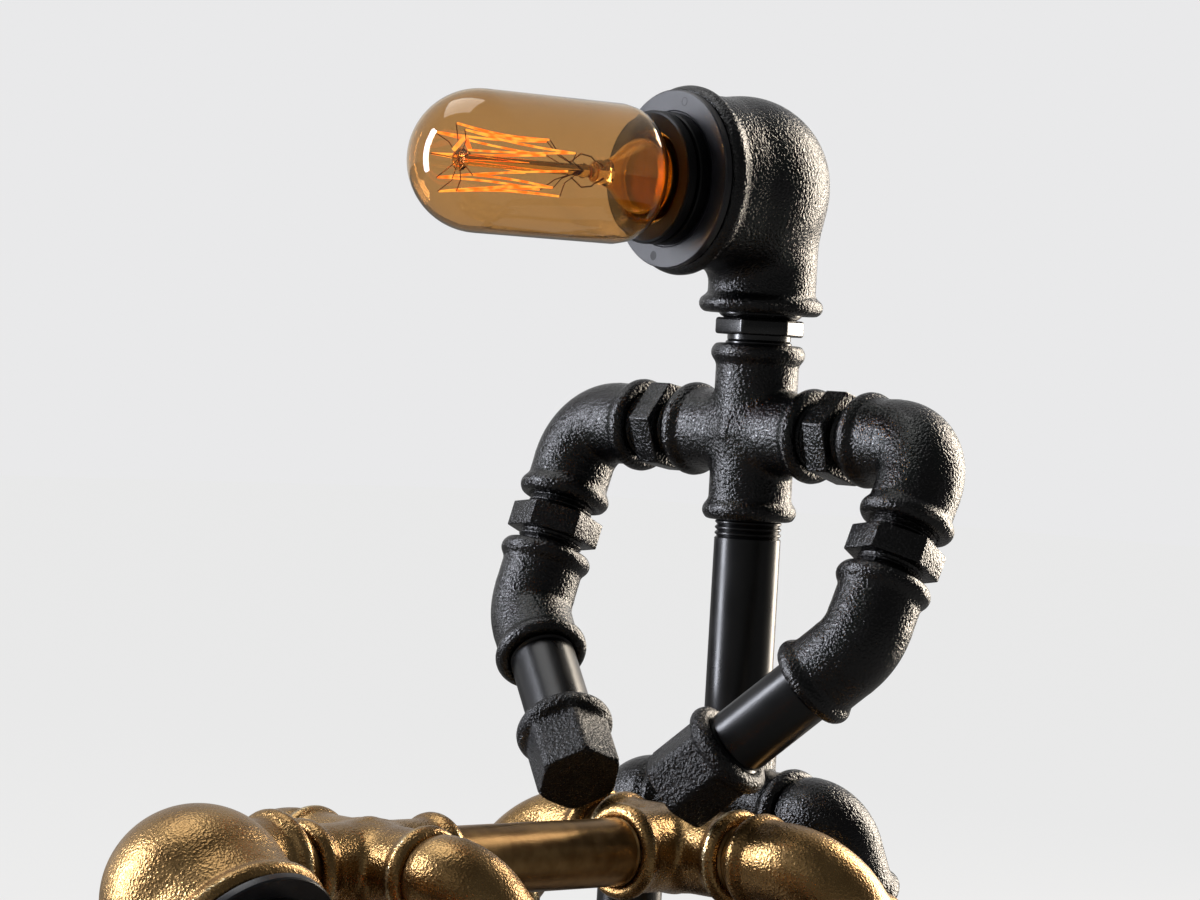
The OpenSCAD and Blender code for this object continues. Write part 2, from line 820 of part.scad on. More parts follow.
// places of the screws up into the right foot and the four hooves
module foot_screw_places() {
    at_foot_screw() children();
    for (leg = steed_legs) translate([hoof_at(leg)[0], hoof_at(leg)[1], 0]) children();
}

module at_foot_screw() {
    translate([chest_x - hip_x, chest_y - elbow_bend + 1.3, 0]) children();
}

module foot_screws() {
    tip = board_top + bead_r - body_r + 4.3;
    color("#9a9a9a") foot_screw_places() {
        translate([0, 0, foot_screw_low]) cylinder(r = foot_screw_head, h = 3.5);
        translate([0, 0, foot_screw_low]) cylinder(r = foot_screw_r, h = tip - foot_screw_low);
    }
}

module shoulder_nipples() {
    color(black) at_chest() for (side = [-1, 1])
        rotate([0, side * 90, 0]) translate([0, 0, cross_len]) hex_nipple(shoulder_gap);
}

module shoulder_elbow(side) {
    at_shoulder(side) limb(side, 0) elbow(elbow_len, elbow_bend, 90);
}

module shoulder_elbow_left() {
    color(black) shoulder_elbow(1);
}

module shoulder_elbow_right() {
    color(black) shoulder_elbow(-1);
}

module arm_nipple(side) {
    at_shoulder(side) translate([0, 0, -elbow_len - arm_gap])
        rotate([0, 0, 12]) hex_nipple(arm_gap);
}

module arm_nipple_left() {
    color(black) arm_nipple(1);
}

module arm_nipple_right() {
    color(black) arm_nipple(-1);
}

module forearm_elbow_left() {
    color(black) at_forearm(1) bend_elbow();
}

module forearm_elbow_right() {
    color(black) at_forearm(-1) bend_elbow();
}

module forearm_pipe(side) {
    at_hand(side) translate([0, 0, -bend_len - forearm_len]) pipe_between(forearm_len);
}

module forearm_pipe_left() {
    color(black) forearm_pipe(1);
}

module forearm_pipe_right() {
    color(black) forearm_pipe(-1);
}

module hand_cap(side) {
    at_hand(side) translate([0, 0, -bend_len - forearm_len]) rotate([180, 0, 0])
        pipe_cap(cap_len);
}

module hand_cap_left() {
    color(black) hand_cap(1);
}

module hand_cap_right() {
    color(black) hand_cap(-1);
}

// ---- head ----

module neck_nipple() {
    color(black) at_chest()
        reducing_nipple(cross_len, neck_hex_low, neck_hex_h, neck_flats,
                        mouth_z - head_small_len, neck_r);
}

module head_elbow() {
    color(black) at_head()
        reducing_elbow(head_small_len, head_small_bead, head_mouth_len,
                       head_mouth_bead, head_ball_r, neck_r);
}

module socket_flange() {
    color(black) at_mouth() socket_flange_shape();
}

module flange_screws() {
    color("#303032") at_mouth() flange_screw_shape();
}

module lampholder() {
    color("#0e0e10") at_mouth() lampholder_shape();
}

module holder_contacts() {
    color("#c9a24a") at_mouth() contact_shape();
}

module bulb_glass() {
    color("#c98a3a", 0.35) at_mouth() bulb_glass_shape();
}

module bulb_cap() {
    color("#c8b070") at_mouth() bulb_cap_shape();
}

module bulb_stem() {
    color("#d8c8a0", 0.5) at_mouth() bulb_stem_shape();
}

module bulb_filament() {
    color("#ff9a3a") at_mouth() filament_shape();
}

// wire inside the robot: up the right leg, across the hip, up the body to the neck
module robot_wire() {
    color("#3a3a3a") {
        rod_up(chest_x - hip_x, chest_y, board_wire_z, chest_z + pelvis_z - street_bend);
        at_pelvis() {
            translate([-hip_x, 0, 0]) limb(-1, 0) bend(wire_r, street_bend, 90);
            translate([-hip_x + street_bend, 0, 0]) rotate([0, 90, 0])
                cylinder(r = wire_r, h = hip_x - 2 * street_bend);
            rotate([0, 0, 180]) bend(wire_r, street_bend, 90);
            translate([0, 0, street_bend])
                cylinder(r = wire_r, h = torso_len + neck_hex_low - street_bend);
        }
    }
}

module rod_up(x, y, low, high) {
    translate([x, y, low]) cylinder(r = wire_r, h = high - low);
}

// wire inside the head: up the neck and forward into the lampholder
module head_wire() {
    low = neck_hex_low + 1;
    sweep = 12;
    color("#3a3a3a") at_head() {
        rotate([90, 0, 0]) translate([0, 0, sweep])
            cylinder(r = wire_r, h = mouth_z - low - sweep);
        rotate([0, 0, -90]) rotate([0, 0, 0]) bend_to_z(wire_r, sweep);
        translate([0, 0, sweep]) cylinder(r = wire_r, h = head_mouth_len + holder_back + 2 - sweep);
    }
}

// bend from +X to +Z
module bend_to_z(radius, sweep) {
    bend(radius, sweep, 90);
}

// ---- steed ----

module steed_rear_tee() {
    color(gold) at_steed() branched([[90, 0, 0], [0, 90, 0], [0, -90, 0]]);
}

module steed_spine() {
    color(gold) at_steed() rotate([90, 0, 0]) translate([0, 0, cross_len])
        pipe_between(spine_pitch - 2 * cross_len);
}

module steed_front_cross() {
    color(gold) at_steed_front()
        branched([[90, 0, 0], [-90, 0, 0], [0, 90, 0], [0, -90, 0]]);
}

module steed_hind_nipples() {
    color(gold) at_steed() for (side = [-1, 1])
        rotate([0, side * 90, 0]) translate([0, 0, cross_len]) close_nipple(close_gap);
}

module steed_hind_elbows() {
    color(gold) for (leg = [steed_legs[0], steed_legs[1]])
        at_steed_corner(leg) limb(leg[1], leg[3]) elbow(elbow_len, elbow_bend, 90);
}

module steed_fore_elbows() {
    color(gold) for (leg = [steed_legs[2], steed_legs[3]])
        at_steed_corner(leg) limb(leg[1], leg[3]) street_elbow();
}

module steed_knee_nipples() {
    color(gold) for (leg = steed_legs)
        at_steed_corner(leg) rotate([leg[3], 0, 0])
            translate([0, 0, -elbow_len - knee_gap]) close_nipple(knee_gap);
}

module steed_knee_elbows() {
    color(gold) for (leg = steed_legs)
        at_steed_knee(leg) rotate([0, 0, leg[3] > 0 ? -90 : 90])
            bend_elbow();
}

module steed_shins() {
    color(gold) for (leg = steed_legs)
        at_steed_shin(leg) translate([0, 0, -shin_len]) pipe_between(shin_len);
}

module steed_hooves() {
    color(gold) difference() {
        for (leg = steed_legs)
            at_steed_shin(leg) translate([0, 0, -shin_len]) rotate([180, 0, 0]) pipe_cap(hoof_len);
        for (leg = steed_legs) translate([hoof_at(leg)[0], hoof_at(leg)[1], 0])
            cylinder(r = foot_screw_r + thread_play, h = board_top + 9);
        at_steed_hole() cylinder(r = wire_r + 0.6, h = board_top + 9);
    }
}

module steed_neck_nipple() {
    color(gold) at_steed_front() rotate([90, 0, 0]) difference() {
        union() {
            translate([0, 0, cross_len - thread_len])
                cylinder(r = pipe_r, h = thread_len + 1.5);
            translate([0, 0, cross_len + 1.5])
                cylinder(r = steed_neck_r, h = steed_neck_gap - 1.5 + thread_len);
        }
        cylinder(r = bore_r, h = cross_len + steed_neck_gap + thread_len + 1);
    }
}

module steed_head_elbow() {
    color(gold) at_steed_head()
        reducing_elbow(steed_small_len, steed_small_bead, steed_mouth_len,
                       steed_mouth_bead, steed_ball_r, steed_neck_r);
}

module steed_flange() {
    color(black) at_steed_mouth() {
        socket_flange_shape();
    }
}

module steed_contacts() {
    color("#c9a24a") at_steed_mouth() contact_shape();
}

module steed_lampholder() {
    color("#0e0e10") at_steed_mouth() lampholder_shape();
}

module steed_bulb_glass() {
    color("#c98a3a", 0.35) at_steed_mouth() bulb_glass_shape();
}

// cap, stem and filament of the steed's bulb
module steed_bulb_core() {
    color("#c8b070") at_steed_mouth() {
        bulb_cap_shape();
        bulb_stem_shape();
        filament_shape();
    }
}

// wire inside the steed: up the left fore leg to the front cross
module steed_wire() {
    leg = steed_legs[2];
    low = -knee_drop + bend_bend * tan(bend_turn / 2);
    color("#3a3a3a") {
        at_steed_knee(leg) rotate([0, 0, -90]) bend(wire_r, bend_bend, bend_turn);
        at_steed_corner(leg) rotate([leg[3], 0, 0]) translate([0, 0, low])
            cylinder(r = wire_r, h = -low - street_bend);
        at_steed_corner(leg) limb(1, leg[3]) bend(wire_r, street_bend, 90);
        at_steed_front() rotate([0, 90, 0]) cylinder(r = wire_r, h = fore_x - street_bend);
        at_steed_front() rotate([90, 0, 0]) cylinder(r = wire_r, h = steed_corner - 14);
        translate([0, 0, foot_screw_low + 3.7]) at_steed_hole()
            cylinder(r = wire_r, h = shin_wire_top - foot_screw_low - 3.7);
    }
}

base_board();
base_pads();
cable_gland();
terminal_block();
base_wires();
dimmer_body();
dimmer_knob();
pelvis_tee();
hip_elbows();
leg_pipe_left();
leg_pipe_right();
foot_elbow_left();
foot_elbow_right();
toe_plugs();
foot_screws();
body_pipe();
chest_cross();
shoulder_nipples();
shoulder_elbow_left();
shoulder_elbow_right();
arm_nipple_left();
arm_nipple_right();
forearm_elbow_left();
forearm_elbow_right();
forearm_pipe_left();
forearm_pipe_right();
hand_cap_left();
hand_cap_right();
neck_nipple();
head_elbow();
socket_flange();
flange_screws();
lampholder();
holder_contacts();
bulb_glass();
bulb_cap();
bulb_stem();
bulb_filament();
robot_wire();
head_wire();
steed_rear_tee();
steed_hind_nipples();
steed_hind_elbows();
steed_spine();
steed_front_cross();
steed_fore_elbows();
steed_knee_nipples();
steed_knee_elbows();
steed_shins();
steed_hooves();
steed_neck_nipple();
steed_head_elbow();
steed_flange();
steed_lampholder();
steed_contacts();
steed_bulb_glass();
steed_bulb_core();
steed_wire();
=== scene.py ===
import bpy
import bmesh
import numpy as np
from collections import namedtuple
from math import radians, sin, cos, tan, pi
from mathutils import Matrix, Vector


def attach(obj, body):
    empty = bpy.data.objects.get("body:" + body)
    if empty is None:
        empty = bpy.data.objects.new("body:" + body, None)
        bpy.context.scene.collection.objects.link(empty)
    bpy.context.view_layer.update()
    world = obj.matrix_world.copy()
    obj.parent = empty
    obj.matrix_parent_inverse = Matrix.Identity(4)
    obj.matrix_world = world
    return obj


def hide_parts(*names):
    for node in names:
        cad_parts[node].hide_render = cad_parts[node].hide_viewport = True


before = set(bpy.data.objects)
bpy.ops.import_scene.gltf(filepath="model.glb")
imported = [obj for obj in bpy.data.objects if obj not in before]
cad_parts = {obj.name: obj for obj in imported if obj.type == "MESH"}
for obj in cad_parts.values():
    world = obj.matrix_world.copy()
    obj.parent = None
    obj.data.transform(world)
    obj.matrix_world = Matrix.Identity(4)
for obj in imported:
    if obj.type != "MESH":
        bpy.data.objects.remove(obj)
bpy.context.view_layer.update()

MM = 0.001

# ---------------------------------------------------------------- sizes, in millimetres and degrees
# fittings
PIPE_R = 10.65
PIPE_IN = 8.0
BODY_R = 13.3
BEAD_R = 15.1
BEAD_W = 6.0
CROSS_LEN = 28.2
ELBOW_LEN = 28.8
ELBOW_RADIUS = 14.8
BEND_LEN = 22.4
BEND_RADIUS = 16.0
BEND_ANGLE = 45
STREET_REACH = 14.6
STREET_RADIUS = 9.0
THREAD_LEN = 13.0
PITCH = 1.81
CAP_LEN = 25.5
HOOF_LEN = 20.0
CAP_FLATS = 24.6
CAP_BEAD_R = 15.7
PLAY = 0.05

# robot: 1 is its left side, -1 its right; each arm swings forwards, each forearm turns at its elbow
SHOULDER_GAP = 17.7
ARM_GAP = 16.3
FOREARM_LEN = 29.6
SWING = {1: 25.2, -1: 19.2}
TWIST = {1: -2.8, -1: 10.1}
TORSO_LEN = 120.5
STRIDE = 27.0
HEAD_YAW = 8.0
HEAD_SMALL_LEN = 40.3
HEAD_MOUTH_LEN = 37.7
MOUTH_Z = 78.2

# steed
CLOSE_GAP = 4.4
KNEE_GAP = 6.0
SHIN_LEN = 31.0
STEED_DROP = 131.6
STEED_X = 5.3
STEED_LEAD = 30.0
STEED_YAW = 1.3
SPINE_PITCH = 130.2
STEED_NECK_GAP = 5.8
STEED_ROLL = 61.0
STEED_STRIDE = 45.0
STEED_SMALL_LEN = 37.0
STEED_MOUTH_LEN = 35.2

BOARD_TOP = 26.0

KNEE_DROP = ELBOW_LEN + KNEE_GAP + BEND_LEN
STEED_Z = BOARD_TOP + HOOF_LEN + SHIN_LEN + BEND_LEN + KNEE_DROP * cos(radians(STEED_STRIDE)) + PLAY
CHEST = Vector((-15.0, 90.0, STEED_Z + STEED_DROP))
PELVIS = CHEST - Vector((0, 0, TORSO_LEN))
HIP_X = CROSS_LEN + STREET_REACH
HIND_X = CROSS_LEN + CLOSE_GAP + ELBOW_LEN


# ---------------------------------------------------------------- places
def move(x, y, z):
    return Matrix.Translation((x, y, z))


def turn(angle, axis):
    return Matrix.Rotation(radians(angle), 4, axis)


def along(axis):
    """Turns +Z to an axis."""
    return Vector((0, 0, 1)).rotation_difference(Vector(axis)).to_matrix().to_4x4()


def limb(side, lean):
    """+Z down the limb, +X back to the body that it leaves."""
    return turn(lean, "X") @ turn(180, "Y" if side > 0 else "X")


CHEST_AT = Matrix.Translation(CHEST)
PELVIS_AT = Matrix.Translation(PELVIS)
SHOULDER_X = CROSS_LEN + SHOULDER_GAP + ELBOW_LEN
SHOULDER_AT = {s: CHEST_AT @ move(s * SHOULDER_X, 0, 0) @ turn(-SWING[s], "X") for s in (1, -1)}
FOREARM_AT = {
    s: SHOULDER_AT[s]
    @ move(0, 0, -ELBOW_LEN - ARM_GAP - BEND_LEN)
    @ turn(180 + TWIST[1] if s > 0 else -TWIST[-1], "Z")
    for s in (1, -1)
}
HAND_AT = {s: FOREARM_AT[s] @ turn(-BEND_ANGLE, "Y") for s in (1, -1)}
HIP_AT = {s: PELVIS_AT @ move(s * HIP_X, 0, 0) @ turn(STRIDE if s > 0 else 0, "X") for s in (1, -1)}
FOOT_Z = BOARD_TOP + BEAD_R + PLAY
TOE_LOW = (
    (ELBOW_LEN - BEAD_W / 2) * sin(radians(STRIDE))
    + (BEAD_R - BEAD_W / 2) * cos(radians(STRIDE))
    + BEAD_W / 2
    + PLAY
)
LEG_LEN = {
    1: (PELVIS.z - BOARD_TOP - TOE_LOW) / cos(radians(STRIDE)) - 2 * ELBOW_LEN,
    -1: PELVIS.z - FOOT_Z - 2 * ELBOW_LEN,
}
FOOT_AT = {s: HIP_AT[s] @ move(0, 0, -2 * ELBOW_LEN - LEG_LEN[s]) @ turn(-90, "Z") for s in (1, -1)}
HEAD_AT = CHEST_AT @ move(0, 0, MOUTH_Z) @ turn(-HEAD_YAW, "Z") @ turn(90, "X")
STEED_AT = move(CHEST.x + STEED_X, CHEST.y - STEED_LEAD, STEED_Z) @ turn(-STEED_YAW, "Z")
FRONT_AT = STEED_AT @ move(0, -SPINE_PITCH, 0)
STEED_HEAD_AT = (
    FRONT_AT
    @ move(0, -CROSS_LEN - STEED_NECK_GAP - STEED_SMALL_LEN, 0)
    @ turn(-STEED_ROLL, "Y")
    @ turn(180, "X")
)

# The steed's legs: where each leaves the spine, its side, its reach from the spine and its lean.
Leg = namedtuple("Leg", "spot side reach lean")
HIND_LEGS = [Leg(0, 1, HIND_X, STEED_STRIDE), Leg(0, -1, HIND_X, -STEED_STRIDE)]
FORE_LEGS = [Leg(-SPINE_PITCH, 1, HIP_X, STEED_STRIDE), Leg(-SPINE_PITCH, -1, HIP_X, -STEED_STRIDE)]
LEGS = HIND_LEGS + FORE_LEGS


def corner(leg):
    """The elbow's corner, level with the spine."""
    return STEED_AT @ move(leg.side * leg.reach, leg.spot, 0)


def thigh(leg):
    """The corner with +Z up the leaning thigh."""
    return corner(leg) @ turn(leg.lean, "X")


def shin(leg):
    """The top of the upright shin."""
    lean = radians(leg.lean)
    return corner(leg) @ move(0, KNEE_DROP * sin(lean), -KNEE_DROP * cos(lean) - BEND_LEN)


# ---------------------------------------------------------------- colours and nodes
def paint(hexa):
    """sRGB hex to the linear colour that a socket takes."""
    rgb = [int(hexa[i : i + 2], 16) / 255 for i in (1, 3, 5)]
    return tuple(c / 12.92 if c <= 0.04045 else ((c + 0.055) / 1.055) ** 2.4 for c in rgb) + (1.0,)


def add(tree, kind, settings=None, links=None):
    """Adds a node, sets its properties and sockets, and links its inputs."""
    node = tree.nodes.new(kind)
    for key, value in (settings or {}).items():
        if isinstance(key, int) or key in node.inputs:
            node.inputs[key].default_value = value
        else:
            setattr(node, key, value)
    for key, socket in (links or {}).items():
        tree.links.new(socket, node.inputs[key])
    return node


def surface(name):
    """A new material with its shader and its object coordinates in millimetres."""
    material = bpy.data.materials.new(name)
    material.use_nodes = True
    tree = material.node_tree
    tree.nodes.clear()
    shader = add(tree, "ShaderNodeBsdfPrincipled")
    add(tree, "ShaderNodeOutputMaterial", None, {"Surface": shader.outputs[0]})
    place = add(tree, "ShaderNodeTexCoord").outputs["Object"]
    where = add(tree, "ShaderNodeMapping", {"Scale": (1000, 1000, 1000)}, {"Vector": place}).outputs[0]
    return material, tree, shader, where


# A pattern is the width of its blobs in millimetres, its detail and its unevenness. Two more numbers
# are the part of the noise's range that is spread from 0 to 1. The seam comes from a casting itself.
SEAM = "seam"
PEBBLES = (1.05, 2.0, 0.5, 0.34, 0.66)
CAP_PEBBLES = (1.1, 2.0, 0.5, 0.34, 0.66)
FLAKES = (0.95, 1.0, 0.5)
LUMPS = (3.0, 1.0, 0.5)
SPECKS = (1.1, 4.0, 0.7)
PATCHES = (12, 1.0, 0.5)

# The values of a pattern between which one colour or roughness goes over to the other.
MIDDLE = (0.35, 0.65)
MOST = (0.3, 0.7)
WHOLE = (0.0, 1.0)


def pattern(tree, where, kind):
    """A number from 0 to 1 all over the surface."""
    if kind == SEAM:
        # the thin raised line where the two halves of the mould met
        off = add(tree, "ShaderNodeAttribute", {"attribute_name": "off_seam"}).outputs["Fac"]
        size = add(tree, "ShaderNodeMath", {"operation": "ABSOLUTE"}, {0: off}).outputs[0]
        fade = {"From Min": 0.1, "From Max": 0.6, "To Min": 1.0, "To Max": 0.0}
        return add(tree, "ShaderNodeMapRange", fade, {"Value": size}).outputs[0]
    width, detail, uneven, *kept = kind
    blobs = {"Scale": 1.2 / width, "Detail": detail, "Roughness": uneven}
    made = add(tree, "ShaderNodeTexNoise", blobs, {"Vector": where}).outputs["Fac"]
    if kept:
        spread = {"From Min": kept[0], "From Max": kept[1]}
        made = add(tree, "ShaderNodeMapRange", spread, {"Value": made}).outputs[0]
    return made


def finish(name, colours=None, rough=None, bumps=(), sockets=None, crest_wear_and_highlight=None, onto="Base Color"):
    """A material that drifts with its patterns.

    colours: a pattern, two colours and the values between which the first goes over to the second
    rough: the same with two roughnesses
    bumps: a pattern, its strength and its depth in millimetres, the next over the last
    sockets: what is the same all over
    crest_wear_and_highlight: the colour on the beads' crests, and the values between which it shows; bare
    iron under the paint on black castings, a painted highlight on gold ones
    onto: the socket that takes the colour
    """
    material, tree, shader, where = surface(name)
    for socket, value in (sockets or {}).items():
        shader.inputs[socket].default_value = value
    made = {}

    def drawn(kind):
        if kind not in made:
            made[kind] = pattern(tree, where, kind)
        return made[kind]

    if colours:
        kind, one, two, (start, end) = colours
        span = {"From Min": start, "From Max": end}
        share = add(tree, "ShaderNodeMapRange", span, {"Value": drawn(kind)})
        pair = {"data_type": "RGBA", 6: paint(one), 7: paint(two)}
        mixed = add(tree, "ShaderNodeMix", pair, {"Factor": share.outputs[0]})
        # The beads' crests take a second colour in specks: bare iron under the enamel on black castings,
        # and a painted highlight in pale gold on gold ones.
        if crest_wear_and_highlight:
            under, (start, end) = crest_wear_and_highlight
            bare = add(tree, "ShaderNodeAttribute", {"attribute_name": "crest"}).outputs["Fac"]
            for kind in (SPECKS, PATCHES):
                both = {0: bare, 1: drawn(kind)}
                bare = add(tree, "ShaderNodeMath", {"operation": "MULTIPLY"}, both).outputs[0]
            span = {"From Min": start, "From Max": end}
            share = add(tree, "ShaderNodeMapRange", span, {"Value": bare})
            over = {"Factor": share.outputs[0], 6: mixed.outputs[2]}
            mixed = add(tree, "ShaderNodeMix", {"data_type": "RGBA", 7: paint(under)}, over)
        tree.links.new(mixed.outputs[2], shader.inputs[onto])
    if rough:
        kind, one, two, (start, end) = rough
        levels = {"From Min": start, "From Max": end, "To Min": one, "To Max": two}
        level = add(tree, "ShaderNodeMapRange", levels, {"Value": drawn(kind)})
        tree.links.new(level.outputs[0], shader.inputs["Roughness"])
    normal = None
    for kind, strength, depth in bumps:
        push = {"Strength": strength, "Distance": depth * MM}
        heights = {"Height": drawn(kind)}
        if normal:
            heights["Normal"] = normal
        normal = add(tree, "ShaderNodeBump", push, heights).outputs[0]
    if normal:
        tree.links.new(normal, shader.inputs["Normal"])
    return material


def plain(name, colour, shade, rough, metallic, grain, depth, specular=0.5):
    """A finish that drifts over 8 mm between two near colours, with a fine grain of its own width."""
    drift = (8, 2.0, 0.5)
    return finish(
        name,
        colours=(drift, colour, shade, MIDDLE),
        rough=(drift, rough * 0.92, rough * 1.08, MOST),
        bumps=[((grain, 1.0, 0.5), 0.4, depth)],
        sockets={"Metallic": metallic, "Specular IOR Level": specular},
    )


def stained_wood():
    """Ash board under a black-brown stain: open grain about 2 mm apart along the board."""
    material, tree, shader, where = surface("dark_stained_ash")
    stretched = add(tree, "ShaderNodeMapping", {"Scale": (1.0, 0.035, 1.0)}, {"Vector": where}).outputs[0]
    grain = pattern(tree, stretched, (1.6, 4.0, 0.65))
    bands = {"Scale": 0.045, "Distortion": 5.0, "Detail": 2.0, "Detail Scale": 1.0, "bands_direction": "X"}
    rings = add(tree, "ShaderNodeTexWave", bands, {"Vector": stretched}).outputs["Fac"]
    pores = add(tree, "ShaderNodeMath", {"operation": "MULTIPLY"}, {0: grain, 1: rings}).outputs[0]
    span = {"From Min": 0.1, "From Max": 0.55}
    share = add(tree, "ShaderNodeMapRange", span, {"Value": pores}).outputs[0]
    stains = {"data_type": "RGBA", 6: paint("#1f1713"), 7: paint("#43332a")}
    stain = add(tree, "ShaderNodeMix", stains, {"Factor": share}).outputs[2]
    levels = {"From Min": 0.3, "From Max": 0.7, "To Min": 0.4, "To Max": 0.56}
    level = add(tree, "ShaderNodeMapRange", levels, {"Value": grain}).outputs[0]
    push = {"Strength": 0.4, "Distance": 0.25 * MM}
    normal = add(tree, "ShaderNodeBump", push, {"Height": grain}).outputs[0]
    for socket, name in ((stain, "Base Color"), (level, "Roughness"), (normal, "Normal")):
        tree.links.new(socket, shader.inputs[name])
    return material


# Enamel over malleable cast iron: the sand's grain shows through as fine pebbles that each catch the
# light, with a raised mould seam, and the beads' tops rubbed bare in specks of a few tenths.
BLACK_CAST = finish(
    "black_enamelled_casting",
    colours=((20, 2.0, 0.5), "#040405", "#0a0909", MIDDLE),
    rough=(PEBBLES, 0.22, 0.13, WHOLE),
    bumps=[(SEAM, 0.3, 0.1), (LUMPS, 0.3, 0.3), (PEBBLES, 1.0, 0.16)],
    crest_wear_and_highlight=("#6d6a66", (0.3, 0.34)),
)
# The same enamel over a coarser casting, as on caps, where it dries matt.
BLACK_ROUGH = finish(
    "black_enamelled_cap",
    colours=(LUMPS, "#070708", "#0f0e0f", MIDDLE),
    rough=(CAP_PEBBLES, 0.42, 0.26, WHOLE),
    bumps=[(LUMPS, 0.5, 0.5), (CAP_PEBBLES, 1.0, 0.3)],
)
# Drawn steel pipe under sprayed satin black: smooth, with a faint wave of spray.
BLACK_PIPE = finish(
    "satin_black_pipe",
    colours=((14, 2.0, 0.5), "#060607", "#0b0b0c", MIDDLE),
    rough=((14, 2.0, 0.5), 0.27, 0.33, MOST),
    bumps=[((0.6, 1.0, 0.5), 0.25, 0.06)],
)
# The same enamel over a machined nipple: level and glossier, with the mill's faint marks under it.
BLACK_GLOSS = finish(
    "black_enamelled_nipple",
    colours=((0.9, 2.0, 0.5), "#060607", "#0c0c0d", MIDDLE),
    rough=((0.9, 2.0, 0.5), 0.22, 0.28, MOST),
    bumps=[((0.9, 2.0, 0.5), 0.3, 0.06)],
    sockets={"Specular IOR Level": 0.8},
)
# Gold bronze paint over the same castings: metal flake over the sand's grain, with a painted highlight in
# pale gold specks on the beads' crests.
GOLD_CAST = finish(
    "gold_painted_casting",
    colours=((16, 2.0, 0.5), "#97764a", "#b3905e", MIDDLE),
    rough=(FLAKES, 0.34, 0.24, MOST),
    bumps=[(SEAM, 0.35, 0.18), (LUMPS, 0.3, 0.25), (FLAKES, 1.0, 0.25)],
    sockets={"Metallic": 0.95},
    # painted highlight: pale gold specks on the beads' crests
    crest_wear_and_highlight=("#e6d3a8", (0.22, 0.3)),
)
# Gold paint on drawn pipe: smoother, in clouds from the spray.
GOLD_PIPE = finish(
    "gold_painted_pipe",
    colours=((7, 2.0, 0.5), "#8c6c42", "#a88656", MIDDLE),
    rough=((7, 2.0, 0.5), 0.3, 0.38, MOST),
    bumps=[((0.5, 1.0, 0.5), 0.3, 0.08)],
    sockets={"Metallic": 0.92},
)
# Blown soda glass stained amber: clear, with the long soft waves of blowing.
AMBER = finish(
    "amber_bulb_glass",
    bumps=[((25, 1.0, 0.5), 0.15, 0.3)],
    sockets={"Base Color": paint("#d9bb90"), "Transmission Weight": 1.0, "Roughness": 0.0, "IOR": 1.45},
)
# Pressed glass of the stem: wavy, tinted amber-yellow, which paints the filament's glow onto it.
STEM = finish(
    "stem_glass_painted_glow",
    bumps=[((3, 2.0, 0.5), 0.3, 0.4)],
    # painted glow: the amber-yellow tint stands for the filament's light in the stem
    sockets={"Base Color": paint("#ffdc9a"), "Transmission Weight": 1.0, "Roughness": 0.05, "IOR": 1.5},
)
# Milky amber glass of the stem's flare, with a faint painted glow in its emission, as if the filament lit
# it through like a lampshade.
FLARE = finish(
    "amber_flare_glass_painted_glow",
    colours=((4, 2.0, 0.5), "#f4c65a", "#ffe08c", MIDDLE),
    bumps=[((4, 2.0, 0.5), 0.3, 0.4)],
    sockets={
        "Transmission Weight": 0.97,
        "Roughness": 0.04,
        "IOR": 1.5,
        # painted glow: the flare gives off faint amber light of its own
        "Emission Color": paint("#ffb84a"),
        "Emission Strength": 0.05,
    },
)
# Carbon filament, glowing orange with hotter stretches.
GLOW = finish(
    "glowing_filament",
    colours=((5, 1.0, 0.5), "#ff7420", "#ffb457", (0.4, 0.6)),
    onto="Emission Color",
    sockets={"Base Color": paint("#401000"), "Emission Strength": 2.4},
)

# name, two colours, roughness, metallic, width and depth of the grain in millimetres
# Turned steel under thin satin black: the tool's fine marks dull the shine.
FLANGE = plain("satin_black_turned_disc", "#202024", "#26262a", 0.33, 0.0, 0.5, 0.02)
# Moulded phenolic: deep black with a low, soft shine.
PHENOLIC = plain("black_phenolic", "#050506", "#0a0a0b", 0.42, 0.0, 3.0, 0.03, specular=0.25)
# Pressed brass sheet: bright and yellow.
BRASS = plain("bright_brass", "#c9a050", "#bd9345", 0.25, 1.0, 0.5, 0.02)
# Drawn molybdenum wire, browned by heat.
HOOKS = plain("oxidised_molybdenum_wire", "#7a4c30", "#8d5a38", 0.35, 1.0, 0.4, 0.02)
# Painted shade: near-black screw pieces stand for the recesses, which stay in their own shadow.
HOLE = plain("shadowed_screw_recess", "#050505", "#090909", 0.6, 0.0, 0.5, 0.05)
# Blackened screw steel: dark metal with a dull shine.
STEEL = plain("blackened_screw_steel", "#3a3a3c", "#474749", 0.38, 1.0, 0.4, 0.03)
# Turned aluminium: grey and softly bright.
TURNED = plain("turned_aluminium", "#78787b", "#858588", 0.45, 1.0, 0.4, 0.03)
# Moulded rubber: matt, with a fine grain.
RUBBER = plain("black_rubber", "#151515", "#1b1b1b", 0.75, 0.0, 0.8, 0.1)
# Moulded plastic: an even half shine.
PLASTIC = plain("black_moulded_plastic", "#171718", "#1c1c1d", 0.5, 0.0, 0.6, 0.05)
# Ivory moulded plastic of a terminal block.
IVORY = plain("ivory_terminal_plastic", "#d8d2c2", "#cfc8b6", 0.5, 0.0, 0.8, 0.05)
# Extruded sleeve of a wire: grey and nearly matt.
SLEEVE = plain("grey_wire_sleeve", "#39393b", "#434345", 0.6, 0.0, 0.8, 0.05)
WOOD = stained_wood()


